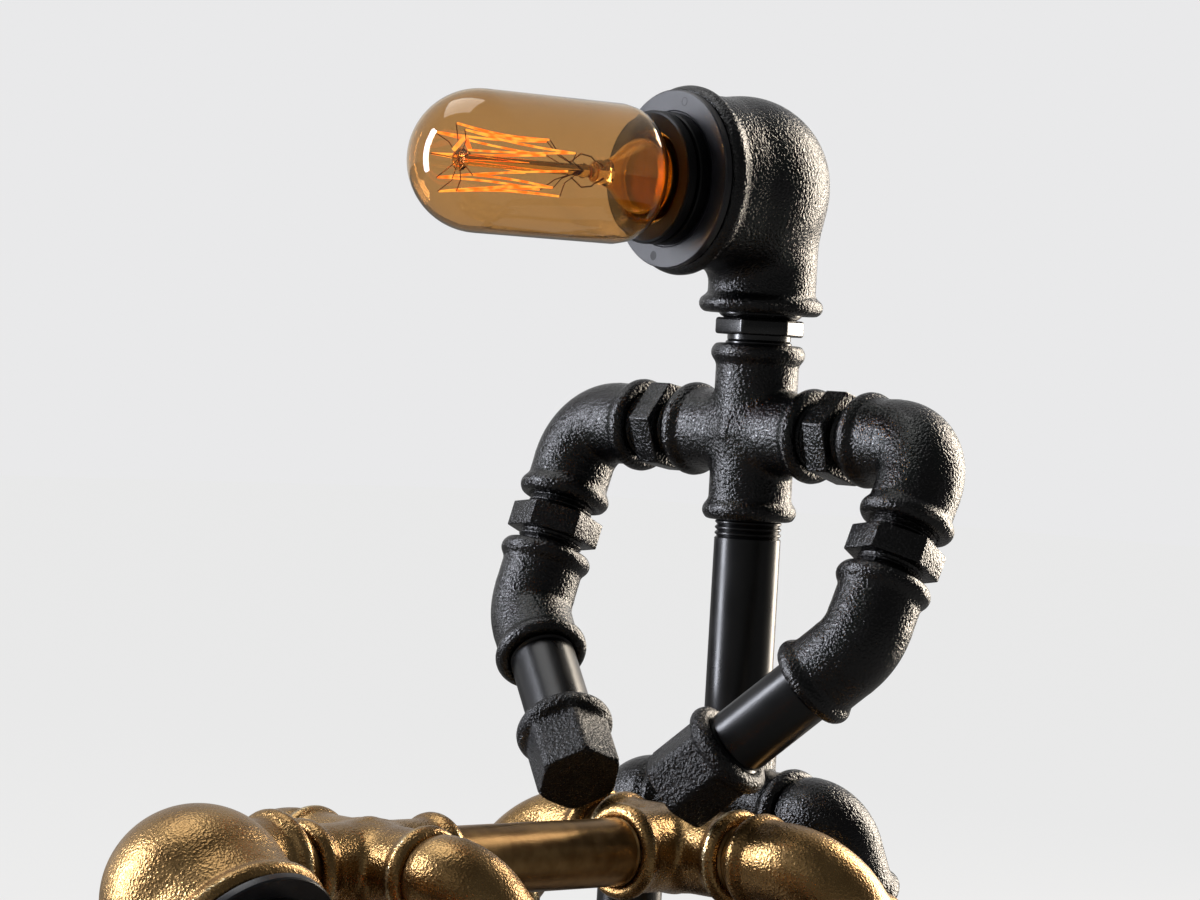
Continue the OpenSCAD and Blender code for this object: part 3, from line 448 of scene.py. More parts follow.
# ---------------------------------------------------------------- making pieces
def show(mesh, name, material, node, body, smooth):
    """Puts a mesh in the scene, with edges sharper than smooth degrees left crisp."""
    made = bpy.data.objects.new(name, mesh)
    bpy.context.collection.objects.link(made)
    mesh.materials.append(material)
    mesh.shade_smooth()
    if smooth < 180:
        mesh.set_sharp_from_angle(angle=radians(smooth))
    if node:
        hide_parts(node)
    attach(made, body)


def piece(bm, name, material, place, node, body, smooth=35):
    """Turns a bmesh in millimetres into a piece that stands for a node and rides on a body."""
    bmesh.ops.transform(bm, matrix=Matrix.Scale(MM, 4) @ place, verts=bm.verts)
    bmesh.ops.recalc_face_normals(bm, faces=bm.faces)
    mesh = bpy.data.meshes.new(name)
    bm.to_mesh(mesh)
    bm.free()
    show(mesh, name, material, node, body, smooth)


def stick(bm, place, r, length, sides):
    """A plain closed bar along the place's Z, with its middle there."""
    made = bmesh.ops.create_cone(
        bm, cap_ends=True, segments=sides, radius1=r, radius2=r, depth=length, matrix=place
    )
    return made["verts"]


def hex_bar(bm, flats, low, high, soften, place=None, first=0.0):
    """A hexagonal bar along +Z with softened edges."""
    middle = (place or Matrix()) @ turn(first, "Z") @ move(0, 0, (low + high) / 2)
    corners = stick(bm, middle, flats / 2 / cos(pi / 6), high - low, 6)
    edges = list(dict.fromkeys(e for v in corners for e in v.link_edges))
    bmesh.ops.bevel(
        bm, geom=edges, offset=soften, segments=3, profile=0.5, affect="EDGES", material=-1,
        clamp_overlap=True,
    )


def lathe(bm, outline, steps=64, place=None):
    """Spins an outline of (radius, height) points round +Z. Ends on the axis close it."""
    before = set(bm.verts)
    points = [bm.verts.new((r, 0, z)) for r, z in outline]
    edges = [bm.edges.new(pair) for pair in zip(points, points[1:])]
    bmesh.ops.spin(
        bm, geom=points + edges, cent=(0, 0, 0), axis=(0, 0, 1), angle=2 * pi, steps=steps,
        use_merge=True, use_duplicate=False,
    )
    made = [v for v in bm.verts if v not in before]
    bmesh.ops.remove_doubles(bm, verts=made, dist=1e-4)
    if place:
        made = [v for v in bm.verts if v not in before]
        bmesh.ops.transform(bm, matrix=place, verts=made)


def threads(low, high, radius=PIPE_R, depth=0.75):
    """Outline of a male thread from low to high, at the real pitch."""
    points = []
    z = low
    while z < high - PITCH * 0.5:
        points += [(radius - depth, z), (radius, z + PITCH * 0.4), (radius, z + PITCH * 0.6)]
        z += PITCH
    return points + [(radius - depth, high)]


def closed(outline):
    """The outline with both its ends taken to the axis."""
    return [(0, outline[0][1])] + outline + [(0, outline[-1][1])]


# ---------------------------------------------------------------- castings
# A casting starts as overlapping bars and balls, which a remesh joins into one skin.
# Its vertices are then drawn to the smooth surface that the rounded shapes blend into.
# Each blend is how far a shape melts into those before it, in millimetres.
BEAD_BLEND = 1.6
BEND_BLEND = 0.3
HEX_BLEND = 1.2
HEX_SOFT = 0.8
BORE_SOFT = 0.35
CREST_FADE = 1.8
CREST_STRETCH = 0.7


def melt(a, b, k):
    """The lesser of two distances, with the corner between them rounded over k millimetres."""
    h = np.clip(0.5 + 0.5 * (b - a) / k, 0, 1)
    return b * (1 - h) + a * h - k * h * (1 - h)


def polar(p, axis):
    """How far along an axis points lie, and how far off it."""
    axis = np.array(axis, float)
    t = p @ axis
    return t, np.linalg.norm(p - np.outer(t, axis), axis=1)


def bar(p, axis, low, high, r, soft=0.5):
    """Distance to a round bar with soft edges."""
    t, q = polar(p, axis)
    return -melt(r - q, np.minimum(t - low, high - t), soft)


def ring(p, axis, at, outer, width):
    """Distance to a rolled bead, half round outside."""
    t, q = polar(p, axis)
    return np.hypot(q - (outer - width / 2), t - at) - width / 2


def mouth(p, axis, at, r, deep, flare=1.0):
    """The shallow chamfered hole that a pipe leaves by, sunk deep millimetres below the face."""
    t, q = polar(p, axis)
    return np.maximum(q - r - np.clip(t - (at - flare), 0, 2 * flare), at - deep - t)


class Casting:
    """Rounded shapes and the bars that seed them."""

    def __init__(self, parting=None):
        self.shapes = []
        self.cuts = []
        self.beads = []
        self.parting = parting
        self.bm = bmesh.new()

    def rod(self, axis, low, high, r, blend=2.0):
        self.shapes.append((lambda p: bar(p, axis, low, high, r), blend))
        stick(self.bm, along(axis) @ move(0, 0, (low + high) / 2), r, high - low, 32)

    def bead(self, axis, face, outer=BEAD_R, width=BEAD_W):
        at = face - width / 2
        self.shapes.append((lambda p: ring(p, axis, at, outer, width), BEAD_BLEND))
        self.beads.append((axis, at, outer))
        stick(self.bm, along(axis) @ move(0, 0, at), outer - 0.5, width - 1, 48)

    def bore(self, axis, face, r=10.75, deep=1.5):
        self.cuts.append(lambda p: mouth(p, axis, face, r, deep))

    def ball(self, centre, r, blend=2.0):
        c = np.array(centre, float)
        self.shapes.append((lambda p: np.linalg.norm(p - c, axis=1) - r, blend))
        bmesh.ops.create_icosphere(self.bm, subdivisions=4, radius=r, matrix=move(*centre))

    def sweep(self, r, bend, angle):
        """A round bend from +Z to the axis that lies angle degrees from -Z towards +X."""
        reach = bend * tan(radians(angle / 2))
        c = np.array((bend, 0, reach))
        a0, span = pi, radians(angle)

        def spot_at(a):
            return np.stack([np.cos(a) * bend, 0 * a, np.sin(a) * bend], -1)

        def distance(p):
            d = p - c
            past = (np.arctan2(d[:, 2], d[:, 0]) - a0) % (2 * pi)
            on_arc = np.linalg.norm(d - spot_at(a0 + np.clip(past, 0, span)), axis=1)
            ends = [np.linalg.norm(d - spot_at(np.array(a)), axis=1) for a in (a0, a0 + span)]
            return np.where(past <= span, on_arc, np.minimum(*ends)) - r

        self.shapes.append((distance, BEND_BLEND))
        for k in range(9):
            a = a0 + span * k / 8
            spot = (c[0] + bend * cos(a), 0, c[2] + bend * sin(a))
            bmesh.ops.create_icosphere(self.bm, subdivisions=3, radius=r, matrix=move(*spot))

    def hexagon(self, flats, low, high):
        """A hexagonal bar along +Z, its first flat towards +X."""
        normals = [np.array((cos(radians(60 * k)), sin(radians(60 * k)), 0)) for k in range(6)]

        def distance(p):
            d = p @ normals[0] - flats / 2
            for n in normals[1:]:
                d = -melt(-d, flats / 2 - p @ n, HEX_SOFT)
            return -melt(-d, np.minimum(p[:, 2] - low, high - p[:, 2]), HEX_SOFT)

        self.shapes.append((distance, HEX_BLEND))
        middle = turn(30, "Z") @ move(0, 0, (low + high) / 2)
        stick(self.bm, middle, flats / 2 / cos(pi / 6), high - low, 6)

    def field(self, p):
        """Distance from points to the casting's surface."""
        total = None
        for shape, blend in self.shapes:
            d = shape(p)
            total = d if total is None else melt(total, d, blend)
        for cut in self.cuts:
            total = -melt(-total, cut(p), BORE_SOFT)
        return total

    def mesh(self, voxel=0.8, rounds=7, nudge=0.02, stride=0.8, flattest=0.3):
        """The joined skin, in millimetres, drawn to the field's surface in rounds of at most a stride."""
        raw = bpy.data.meshes.new("seed")
        self.bm.to_mesh(raw)
        self.bm.free()
        seed = bpy.data.objects.new("seed", raw)
        bpy.context.collection.objects.link(seed)
        remesh = seed.modifiers.new("skin", "REMESH")
        remesh.mode = "VOXEL"
        remesh.voxel_size = voxel
        skin = bpy.data.meshes.new_from_object(seed.evaluated_get(bpy.context.evaluated_depsgraph_get()))
        bpy.data.objects.remove(seed)
        count = len(skin.vertices)
        p = np.empty(count * 3)
        skin.vertices.foreach_get("co", p)
        p = p.reshape(-1, 3)
        for _ in range(rounds):
            d = self.field(p)
            slope = np.empty_like(p)
            for k in range(3):
                e = np.zeros(3)
                e[k] = nudge
                slope[:, k] = (self.field(p + e) - self.field(p - e)) / (2 * nudge)
            size = np.maximum(np.linalg.norm(slope, axis=1), flattest)
            p = p - slope * (np.clip(d / size, -stride, stride) / size)[:, None]
        skin.vertices.foreach_set("co", p.ravel())
        # off_seam: millimetres off the mould's parting plane, or 9 where no seam shows
        # crest: 1 at the top of a bead, down to nothing CREST_FADE from it
        crest = np.zeros(count)
        for axis, at, outer in self.beads:
            t, q = polar(p, axis)
            crest = np.maximum(crest, 1 - np.hypot(q - outer, CREST_STRETCH * (t - at)) / CREST_FADE)
        off_seam = p @ np.array(self.parting, float) if self.parting else np.full(count, 9.0)
        for name, values in (("off_seam", off_seam), ("crest", crest)):
            skin.attributes.new(name, "FLOAT", "POINT").data.foreach_set("value", values.astype(np.float32))
        return skin


def cast(casting_mesh, places, name, material, node, body):
    """One piece from copies of a casting, one at each place."""
    bm = bmesh.new()
    for place in places:
        copy = casting_mesh.copy()
        copy.transform(Matrix.Scale(MM, 4) @ place)
        bm.from_mesh(copy)
        bpy.data.meshes.remove(copy)
    bmesh.ops.recalc_face_normals(bm, faces=bm.faces)
    mesh = bpy.data.meshes.new(name)
    bm.to_mesh(mesh)
    bm.free()
    show(mesh, name, material, node, body, 180)


def branched_casting(axes):
    """A cross or tee: bars that meet in soft fillets, each with a bead at its mouth."""
    made = Casting(parting=(0, 1, 0))
    for axis in axes:
        made.rod(axis, 0, CROSS_LEN - 1, BODY_R, blend=3.0)
    for axis in axes:
        made.bead(axis, CROSS_LEN)
        made.bore(axis, CROSS_LEN)
    return made.mesh()


def elbow_casting(length, bend, angle):
    """A round bend with a short straight bar and a bead at each mouth."""
    reach = bend * tan(radians(angle / 2))
    out = (sin(radians(180 - angle)), 0, cos(radians(180 - angle)))
    made = Casting()
    made.sweep(BODY_R, bend, angle)
    for axis in ((0, 0, 1), out):
        made.rod(axis, reach - 0.5, length - 1, BODY_R, BEND_BLEND)
    for axis in ((0, 0, 1), out):
        made.bead(axis, length)
        made.bore(axis, length)
    return made.mesh()


def street_casting():
    """An elbow with a mouth along +Z and a bare male end along +X."""
    up, out = (0, 0, 1), (1, 0, 0)
    made = Casting()
    made.sweep(BODY_R, STREET_RADIUS, 90)
    made.rod(up, 8.5, ELBOW_LEN - 1, BODY_R, BEND_BLEND)
    made.rod(out, 8.0, 11.0, BODY_R, BEND_BLEND)
    made.rod(out, 8.5, STREET_REACH + THREAD_LEN - 4, PIPE_R, blend=1.0)
    made.bead(up, ELBOW_LEN)
    made.bore(up, ELBOW_LEN)
    return made.mesh()


def cap_casting(length):
    """A hexagon cap along +Z, with its bead and mouth at the origin."""
    made = Casting()
    made.hexagon(CAP_FLATS, 0.5, length)
    made.bead((0, 0, 1), BEAD_W, CAP_BEAD_R)
    made.bore((0, 0, -1), 0.0)
    return made.mesh(voxel=0.7)


def head_casting(small_len, small_bead, mouth_len, mouth_bead, ball_r):
    """A reducing elbow: a ball with a wide mouth along +Z and a narrow neck along -Y."""
    up, down = (0, 0, 1), (0, -1, 0)
    shift = ball_r * 0.4
    made = Casting()
    made.ball((0, 0, shift), ball_r, blend=1.0)
    made.rod(up, shift, mouth_len - 1, ball_r - 0.9, blend=1.0)
    made.rod(down, 4, small_len - 1, small_bead - 2.6, blend=5.0)
    made.bead(up, mouth_len, mouth_bead, width=6.5)
    made.bead(down, small_len, small_bead, width=5.5)
    made.bore(up, mouth_len, r=mouth_bead - 4.5, deep=2.0)
    made.bore(down, small_len, r=13.4, deep=2.0)
    return made.mesh(voxel=0.9)


CROSS = branched_casting([(0, 0, 1), (0, 0, -1), (1, 0, 0), (-1, 0, 0)])
TEE = branched_casting([(0, 0, 1), (1, 0, 0), (-1, 0, 0)])
ELBOW = elbow_casting(ELBOW_LEN, ELBOW_RADIUS, 90)
BEND = elbow_casting(BEND_LEN, BEND_RADIUS, BEND_ANGLE)
STREET = street_casting()
HAND = cap_casting(CAP_LEN)
HOOF = cap_casting(HOOF_LEN)
HEAD = head_casting(HEAD_SMALL_LEN, small_bead=19.9, mouth_len=HEAD_MOUTH_LEN, mouth_bead=29.9, ball_r=28.4)
STEED_HEAD = head_casting(
    STEED_SMALL_LEN, small_bead=18.2, mouth_len=STEED_MOUTH_LEN, mouth_bead=28.9, ball_r=27.3
)

cast(CROSS, [CHEST_AT], "chest_cross_casting", BLACK_CAST, "chest_cross", "base")
cast(TEE, [PELVIS_AT], "pelvis_tee_casting", BLACK_CAST, "pelvis_tee", "base")
cast(
    STREET,
    [PELVIS_AT @ move(s * HIP_X, 0, 0) @ limb(s, STRIDE if s > 0 else 0) for s in (1, -1)],
    "hip_elbow_castings", BLACK_CAST, "hip_elbows", "base",
)
for side, hand in ((1, "left"), (-1, "right")):
    cast(ELBOW, [FOOT_AT[side]], f"foot_{hand}_casting", BLACK_CAST, f"foot_elbow_{hand}", "base")
    cast(
        ELBOW, [SHOULDER_AT[side] @ limb(side, 0)], f"shoulder_{hand}_casting", BLACK_CAST,
        f"shoulder_elbow_{hand}", f"upper_arm_{hand}",
    )
    cast(
        BEND, [FOREARM_AT[side]], f"forearm_bend_{hand}", BLACK_CAST,
        f"forearm_elbow_{hand}", f"forearm_{hand}",
    )
    cast(
        HAND, [HAND_AT[side] @ move(0, 0, -BEND_LEN - FOREARM_LEN) @ turn(180, "X")],
        f"hand_{hand}_casting", BLACK_ROUGH, f"hand_cap_{hand}", f"forearm_{hand}",
    )
cast(HEAD, [HEAD_AT], "head_casting", BLACK_CAST, "head_elbow", "head")
cast(STEED_HEAD, [STEED_HEAD_AT], "steed_head_casting", GOLD_CAST, "steed_head_elbow", "steed_head")
cast(TEE, [STEED_AT @ turn(90, "X")], "steed_tee_casting", GOLD_CAST, "steed_rear_tee", "base")
cast(CROSS, [FRONT_AT @ turn(90, "X")], "steed_cross_casting", GOLD_CAST, "steed_front_cross", "base")
for legs, casting, name, node in (
    (HIND_LEGS, ELBOW, "steed_hind_castings", "steed_hind_elbows"),
    (FORE_LEGS, STREET, "steed_fore_castings", "steed_fore_elbows"),
):
    cast(casting, [corner(leg) @ limb(leg.side, leg.lean) for leg in legs], name, GOLD_CAST, node, "base")
cast(
    BEND, [thigh(leg) @ move(0, 0, -KNEE_DROP) @ turn(-90 if leg.lean > 0 else 90, "Z") for leg in LEGS],
    "steed_knee_castings", GOLD_CAST, "steed_knee_elbows", "base",
)
cast(
    HOOF, [shin(leg) @ move(0, 0, -SHIN_LEN) @ turn(180, "X") for leg in LEGS],
    "steed_hoof_castings", GOLD_CAST, "steed_hooves", "base",
)


# ---------------------------------------------------------------- pipes and nipples
def pipe(name, place, length, material, node, body, bare=(0, 0)):
    """Pipe along +Z between two sockets, with threads that show for bare millimetres at each end."""
    bm = bmesh.new()
    outline = [(PIPE_IN, -THREAD_LEN + 1)] + threads(-5, bare[0] + 0.3) + [(PIPE_R, bare[0] + 0.9)]
    outline += [(PIPE_R, length - bare[1] - 0.9)] + threads(length - bare[1] - 0.3, length + 5)
    outline += [(PIPE_IN, length + THREAD_LEN - 1)]
    lathe(bm, closed(outline))
    piece(bm, name, material, place, node, body)


def nipple(bm, gap, place, first, flats=26.5, width=8.5):
    """Hexagon nipple along +Z: threads, a round shoulder each side and the hexagon."""
    low, high = (gap - width) / 2, (gap + width) / 2
    shoulder = [(PIPE_R - 0.2, low), (PIPE_R - 0.2, high)]
    lathe(bm, closed(threads(-4, low - 0.8) + shoulder + threads(high + 0.8, gap + 4)), place=place)
    hex_bar(bm, flats, low, high, 0.45, place, first)


def close_nipples(name, node, gap, places):
    """Gold nipples along +Z, of which only the threads show in the gap between two fittings."""
    bm = bmesh.new()
    for place in places:
        lathe(bm, closed(threads(-4, gap + 4)), place=place)
    piece(bm, name, GOLD_PIPE, Matrix(), node, "base")


for side, hand in ((1, "left"), (-1, "right")):
    bm = bmesh.new()
    nipple(bm, ARM_GAP, Matrix(), first=12)
    piece(
        bm, f"arm_{hand}_nipple", BLACK_CAST, SHOULDER_AT[side] @ move(0, 0, -ELBOW_LEN - ARM_GAP),
        f"arm_nipple_{hand}", f"upper_arm_{hand}",
    )
    pipe(
        f"forearm_{hand}_pipe", HAND_AT[side] @ move(0, 0, -BEND_LEN - FOREARM_LEN), FOREARM_LEN,
        BLACK_PIPE, f"forearm_pipe_{hand}", f"forearm_{hand}",
    )
    pipe(
        f"leg_{hand}_pipe", HIP_AT[side] @ move(0, 0, -ELBOW_LEN - LEG_LEN[side]), LEG_LEN[side],
        BLACK_PIPE, f"leg_pipe_{hand}", "base", bare=(2, 2),
    )

bm = bmesh.new()
for side, first in ((1, -16), (-1, 9)):
    nipple(bm, SHOULDER_GAP, turn(side * 90, "Y") @ move(0, 0, CROSS_LEN), first)
piece(bm, "shoulder_hex_nipples", BLACK_CAST, CHEST_AT, "shoulder_nipples", "base")

pipe(
    "torso_pipe", PELVIS_AT @ move(0, 0, CROSS_LEN), TORSO_LEN - 2 * CROSS_LEN, BLACK_PIPE,
    "body_pipe", "base", bare=(1, 5),
)
pipe(
    "steed_back_pipe", STEED_AT @ turn(90, "X") @ move(0, 0, CROSS_LEN), SPINE_PITCH - 2 * CROSS_LEN,
    GOLD_PIPE, "steed_spine", "base",
)

bm = bmesh.new()
for leg in LEGS:
    shin_outline = [(PIPE_IN, -10), (PIPE_R, -9), (PIPE_R, SHIN_LEN + 9), (PIPE_IN, SHIN_LEN + 10)]
    lathe(bm, closed(shin_outline), place=shin(leg) @ move(0, 0, -SHIN_LEN))
piece(bm, "steed_shin_pipes", GOLD_PIPE, Matrix(), "steed_shins", "base")

close_nipples(
    "steed_hind_threads", "steed_hind_nipples", CLOSE_GAP,
    [STEED_AT @ turn(leg.side * 90, "Y") @ move(0, 0, CROSS_LEN) for leg in HIND_LEGS],
)
close_nipples(
    "steed_knee_threads", "steed_knee_nipples", KNEE_GAP,
    [thigh(leg) @ move(0, 0, -ELBOW_LEN - KNEE_GAP) for leg in LEGS],
)

# Neck nipples: the thread in the body's socket, a shoulder, and the wider thread in the head.
HEAD_THREAD_R = 13.2
bm = bmesh.new()
shoulder = [(12.2, 29.6), (13.0, 30.0), (13.0, 33.4)]
outline = closed(threads(24, 29.5) + shoulder + threads(33.5, 38, HEAD_THREAD_R))
lathe(bm, outline, place=FRONT_AT @ turn(90, "X"))
piece(bm, "steed_neck_thread", GOLD_PIPE, Matrix(), "steed_neck_nipple", "base")

bm = bmesh.new()
shoulder = [(10.2, 29.5), (10.2, 31.5), (11.4, 36.2), (12.0, 36.6)]
lathe(bm, closed(threads(24, 29.4) + shoulder + threads(36.8, 42, HEAD_THREAD_R)))
hex_bar(bm, 25.0, 31.0, 36.3, 0.9, first=18.5)
piece(bm, "neck_hex_nipple", BLACK_GLOSS, CHEST_AT, "neck_nipple", "base")

bm = bmesh.new()
for side in (1, -1):
    toe = FOOT_AT[side] @ turn(90, "Y") @ move(0, 0, ELBOW_LEN)
    lathe(bm, closed(threads(-6, 0.5)), place=toe)
    hex_bar(bm, 14.0, 0.3, 6.5, 0.7, toe)
piece(bm, "toe_plug_hexes", BLACK_CAST, Matrix(), "toe_plugs", "base")


# ---------------------------------------------------------------- lampholders and bulbs
# Outlines are (radius, height) points from the mouth's face outwards.
FLANGE_OUTLINE = [
    (19.65, 0.0), (27.2, 0.0), (28.0, 0.5), (28.1, 1.2), (28.1, 2.6), (27.7, 3.0), (21.6, 3.0), (21.2, 2.7),
    (19.65, 2.7), (19.65, 0.0),
]
SCREW_RING_R = 24.8
SCREWS = {
    257: [(0, 2.6), (1.5, 2.6), (1.5, 3.02), (1.2, 3.03), (0, 3.03)],
    77: [(1.15, 2.6), (1.4, 2.6), (1.4, 3.03), (1.15, 3.03), (1.15, 2.6)],
}
HOLDER_OUTLINE = [
    (0, -20.9), (18.6, -20.9), (19.5, -20), (19.5, 3.2),
    (20.8, 3.4), (20.9, 3.8), (20.9, 6.7), (20.6, 7.2), (19.2, 7.4), (19.2, 8.3), (20.6, 8.5),
    (20.9, 8.9), (20.9, 11.2), (20.6, 11.7), (20.0, 11.9), (15.2, 11.3), (14.6, 10.6),
    (14.6, -11.9), (0, -11.9),
]
GLASS_R = 21.9
GLASS_WALL = 0.55
GLASS_TIP = 98.8
GLASS_SHOULDER = [
    (12.0, 9.0), (12.0, 11.6), (13.0, 13.6), (14.6, 15.4), (17.6, 17.4), (19.9, 19.2), (21.3, 21.6),
    (GLASS_R, 25.0),
]
CAP_TIP = -10.4
CAP_PITCH = 3.6
# a flared tube, pinched shut round the lead wires, with a rod that ends in a button
FLARE_OUTLINE = [
    (11.3, 12.6), (11.9, 14.6), (11.6, 16.4), (9.8, 19.4), (7.2, 22.4), (5.2, 25.6), (4.3, 28.0),
]
FLARE_WALL = 0.6
STEM_OUTLINE = [
    (0, 28.05), (4.2, 28.05),
    (3.4, 29.2), (3.9, 31.0), (3.3, 33.0), (2.0, 34.2), (1.9, 36.0), (2.4, 37.4), (1.9, 38.8), (1.8, 41.0),
    (1.8, 81.6), (2.0, 82.6), (3.3, 83.0), (3.6, 83.8), (3.3, 84.6), (0, 84.9),
]


def glass_outline():
    """Tube with a round end: up the outside, and back down the inside of its wall."""
    end, r = GLASS_TIP - GLASS_R, GLASS_R
    inner_r = r - GLASS_WALL
    shell = GLASS_SHOULDER + [(r, end)]
    tip = [(r * cos(a), end + r * sin(a)) for a in np.linspace(0, pi / 2, 18)[1:-1]]
    inner = [(0, end + r - GLASS_WALL)]
    inner += [(x * inner_r / r, end + (z - end) * inner_r / r) for x, z in reversed(tip)]
    inner += [(x - GLASS_WALL, z + GLASS_WALL * 0.3) for x, z in reversed(shell[1:])]
    inner += [(shell[0][0] - GLASS_WALL, shell[0][1])]
    return shell + tip + [(0, end + r)] + inner + shell[:1]


def cap_outline():
    """E27 cap: contact, insulation, round screw thread and the rim that holds the glass."""
    outline = [(0, 0), (4.4, 0), (4.6, 0.4), (4.6, 1.2), (6.0, 1.4), (11.8, 4.3)]
    outline = [(r, CAP_TIP + z) for r, z in outline]
    z = CAP_TIP + 4.5
    while z < 7.5:
        outline += [(12.3, z), (13.1, z + 1.1), (13.1, z + 1.7)]
        z += CAP_PITCH
    return outline + [(12.6, 11.2), (12.4, 11.8), (12.2, 11.8), (12.2, 4.0), (0, 4.0)]


def light(at, parts, body, bulb_body, nodes):
    """Socket flange, lampholder and bulb along +Z from the mouth's face."""
    flange, screws, holder, glass, cap, stem, filament = nodes

    def turned(label, outline, steps, material, node, owner, smooth):
        bm = bmesh.new()
        lathe(bm, outline, steps)
        piece(bm, f"{parts}_{label}", material, at, node, owner, smooth)

    turned("flange_disc", FLANGE_OUTLINE, 96, FLANGE, flange, body, 25)
    bm = bmesh.new()
    for angle, outline in SCREWS.items():
        lathe(bm, outline, 24, turn(angle, "Z") @ move(SCREW_RING_R, 0, 0))
    piece(bm, f"{parts}_flange_screws", HOLE, at, screws, body, 25)
    turned("lampholder", HOLDER_OUTLINE, 96, PHENOLIC, holder, body, 25)
    turned("bulb_glass", glass_outline(), 96, AMBER, glass, bulb_body, 60)
    turned("bulb_cap", cap_outline(), 64, BRASS, cap, bulb_body, 35)
    flare_inside = [(r - FLARE_WALL, z) for r, z in reversed(FLARE_OUTLINE)]
    turned("bulb_flare", FLARE_OUTLINE + flare_inside + FLARE_OUTLINE[:1], 64, FLARE, None, bulb_body, 60)
    turned("bulb_stem", STEM_OUTLINE, 48, STEM, stem, bulb_body, 60)
    filament_loops(at, parts, filament, bulb_body)


def strand(bm, points, thick):
    """A thin wire through points."""
    for one, two in zip(points, points[1:]):
        one, two = Vector(one), Vector(two)
        middle = Matrix.Translation((one + two) / 2) @ along(two - one)
        stick(bm, middle, thick, (two - one).length + thick, 8)


def around(radius, angle, z):
    """A point at an angle round the bulb's axis."""
    return Vector((radius * cos(radians(angle)), radius * sin(radians(angle)), z))


def filament_loops(at, parts, node, body):
    """A cage of glowing strands that zigzag between hooks at the tip and hooks at the stem."""
    loops, step, first = 9, 40, 12
    tips = [around(10.6, step * k + first, 88.5 - 1.6 * (k % 3)) for k in range(loops)]
    feet = [around(8.6, step * (k + 0.5) + first, 46.5 + 3.4 * ((k * 2) % 3)) for k in range(loops)]
    bm = bmesh.new()
    for k in range(loops):
        for one, two in ((tips[k], feet[k]), (feet[k], tips[(k + 1) % loops])):
            if k == loops - 1 and two is tips[0]:
                continue
            inward = Vector((-(one.x + two.x), -(one.y + two.y), 0)).normalized()
            slack = [one.lerp(two, t / 6) + inward * 0.9 * sin(pi * t / 6) for t in range(7)]
            strand(bm, slack, 0.33)
    # the last strand's tail, wound round the hook beside the button
    tail = [around(3.4 + 3.4 * sin(pi * t / 8), 96 - 6 * t, 80.5 + 7.5 * t / 8) for t in range(9)]
    strand(bm, tail, 0.7)
    piece(bm, f"{parts}_filament", GLOW, at, node, body)
    # hooks from the button to the tips and from the rod to the feet, and the two lead wires
    button, rod, lift = Vector((0, 0, 84.2)), Vector((0, 0, 37.6)), Vector((0, 0, 0.6))
    bm = bmesh.new()
    for k in range(loops):
        out = tips[k].lerp(Vector((0, 0, tips[k].z)), 0.35)
        strand(bm, [button, Vector((out.x, out.y, 85.2)), tips[k] + lift], 0.16)
        strand(bm, [rod, feet[k].lerp(Vector((0, 0, 42)), 0.5), feet[k] - lift], 0.16)
    for angle in (96, 276):
        lead = [around(r, angle, z) for r, z in ((1.2, 30), (4.6, 34), (5.2, 38), (2.4, 42))]
        strand(bm, lead, 0.22)
    piece(bm, f"{parts}_filament_hooks", HOOKS, at, None, body)


light(
    HEAD_AT @ move(0, 0, HEAD_MOUTH_LEN), "head", "head", "bulb",
    (
        "socket_flange", "flange_screws", "lampholder",
        "bulb_glass", "bulb_cap", "bulb_stem", "bulb_filament",
    ),
)
light(
    STEED_HEAD_AT @ move(0, 0, STEED_MOUTH_LEN), "steed", "steed_head", "steed_bulb",
    ("steed_flange", None, "steed_lampholder", "steed_bulb_glass", "steed_bulb_core", None, None),
)

# ---------------------------------------------------------------- kept solids get their finish
KEPT = {
    "base_board": WOOD, "base_pads": RUBBER, "cable_gland": PLASTIC, "terminal_block": IVORY,
    "base_wires": SLEEVE, "dimmer_body": PLASTIC, "dimmer_knob": TURNED, "foot_screws": STEEL,
    "holder_contacts": BRASS, "steed_contacts": BRASS,
    "robot_wire": SLEEVE, "head_wire": SLEEVE, "steed_wire": SLEEVE,
}
for node, material in KEPT.items():
    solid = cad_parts[node]
    solid.data.materials.clear()
    solid.data.materials.append(material)

# ---------------------------------------------------------------- camera
# It looks past the chest, whose middle falls on CHEST_SEEN in the frame. FOCAL is in the same pixels.
AZIMUTH, RISE, ROLL = radians(43.99), radians(1.085), radians(3.282)
DISTANCE, FOCAL = 1.30071, 4062.58
FRAME_W, FRAME_H = 1200, 900
CHEST_SEEN = (753.57, 432.43)
SENSOR = 36
SHIFT_X = (CHEST_SEEN[0] - FRAME_W / 2) / FOCAL * DISTANCE
SHIFT_Y = -(CHEST_SEEN[1] - FRAME_H / 2) / FOCAL * DISTANCE
back = Vector((sin(AZIMUTH) * cos(RISE), -cos(AZIMUTH) * cos(RISE), sin(RISE)))
right = Vector((cos(AZIMUTH), sin(AZIMUTH), 0))
up = back.cross(right)
right, up = cos(ROLL) * right + sin(ROLL) * up, cos(ROLL) * up - sin(ROLL) * right
lens = bpy.data.cameras.new("camera")
lens.sensor_width = SENSOR
lens.lens = FOCAL * SENSOR / FRAME_W
camera = bpy.data.objects.new("camera", lens)
bpy.context.collection.objects.link(camera)
spot = CHEST * MM + back * DISTANCE - right * SHIFT_X - up * SHIFT_Y
camera.matrix_world = Matrix((
    (right.x, up.x, back.x, spot.x),
    (right.y, up.y, back.y, spot.y),
    (right.z, up.z, back.z, spot.z),
    (0, 0, 0, 1),
))
bpy.context.scene.camera = camera

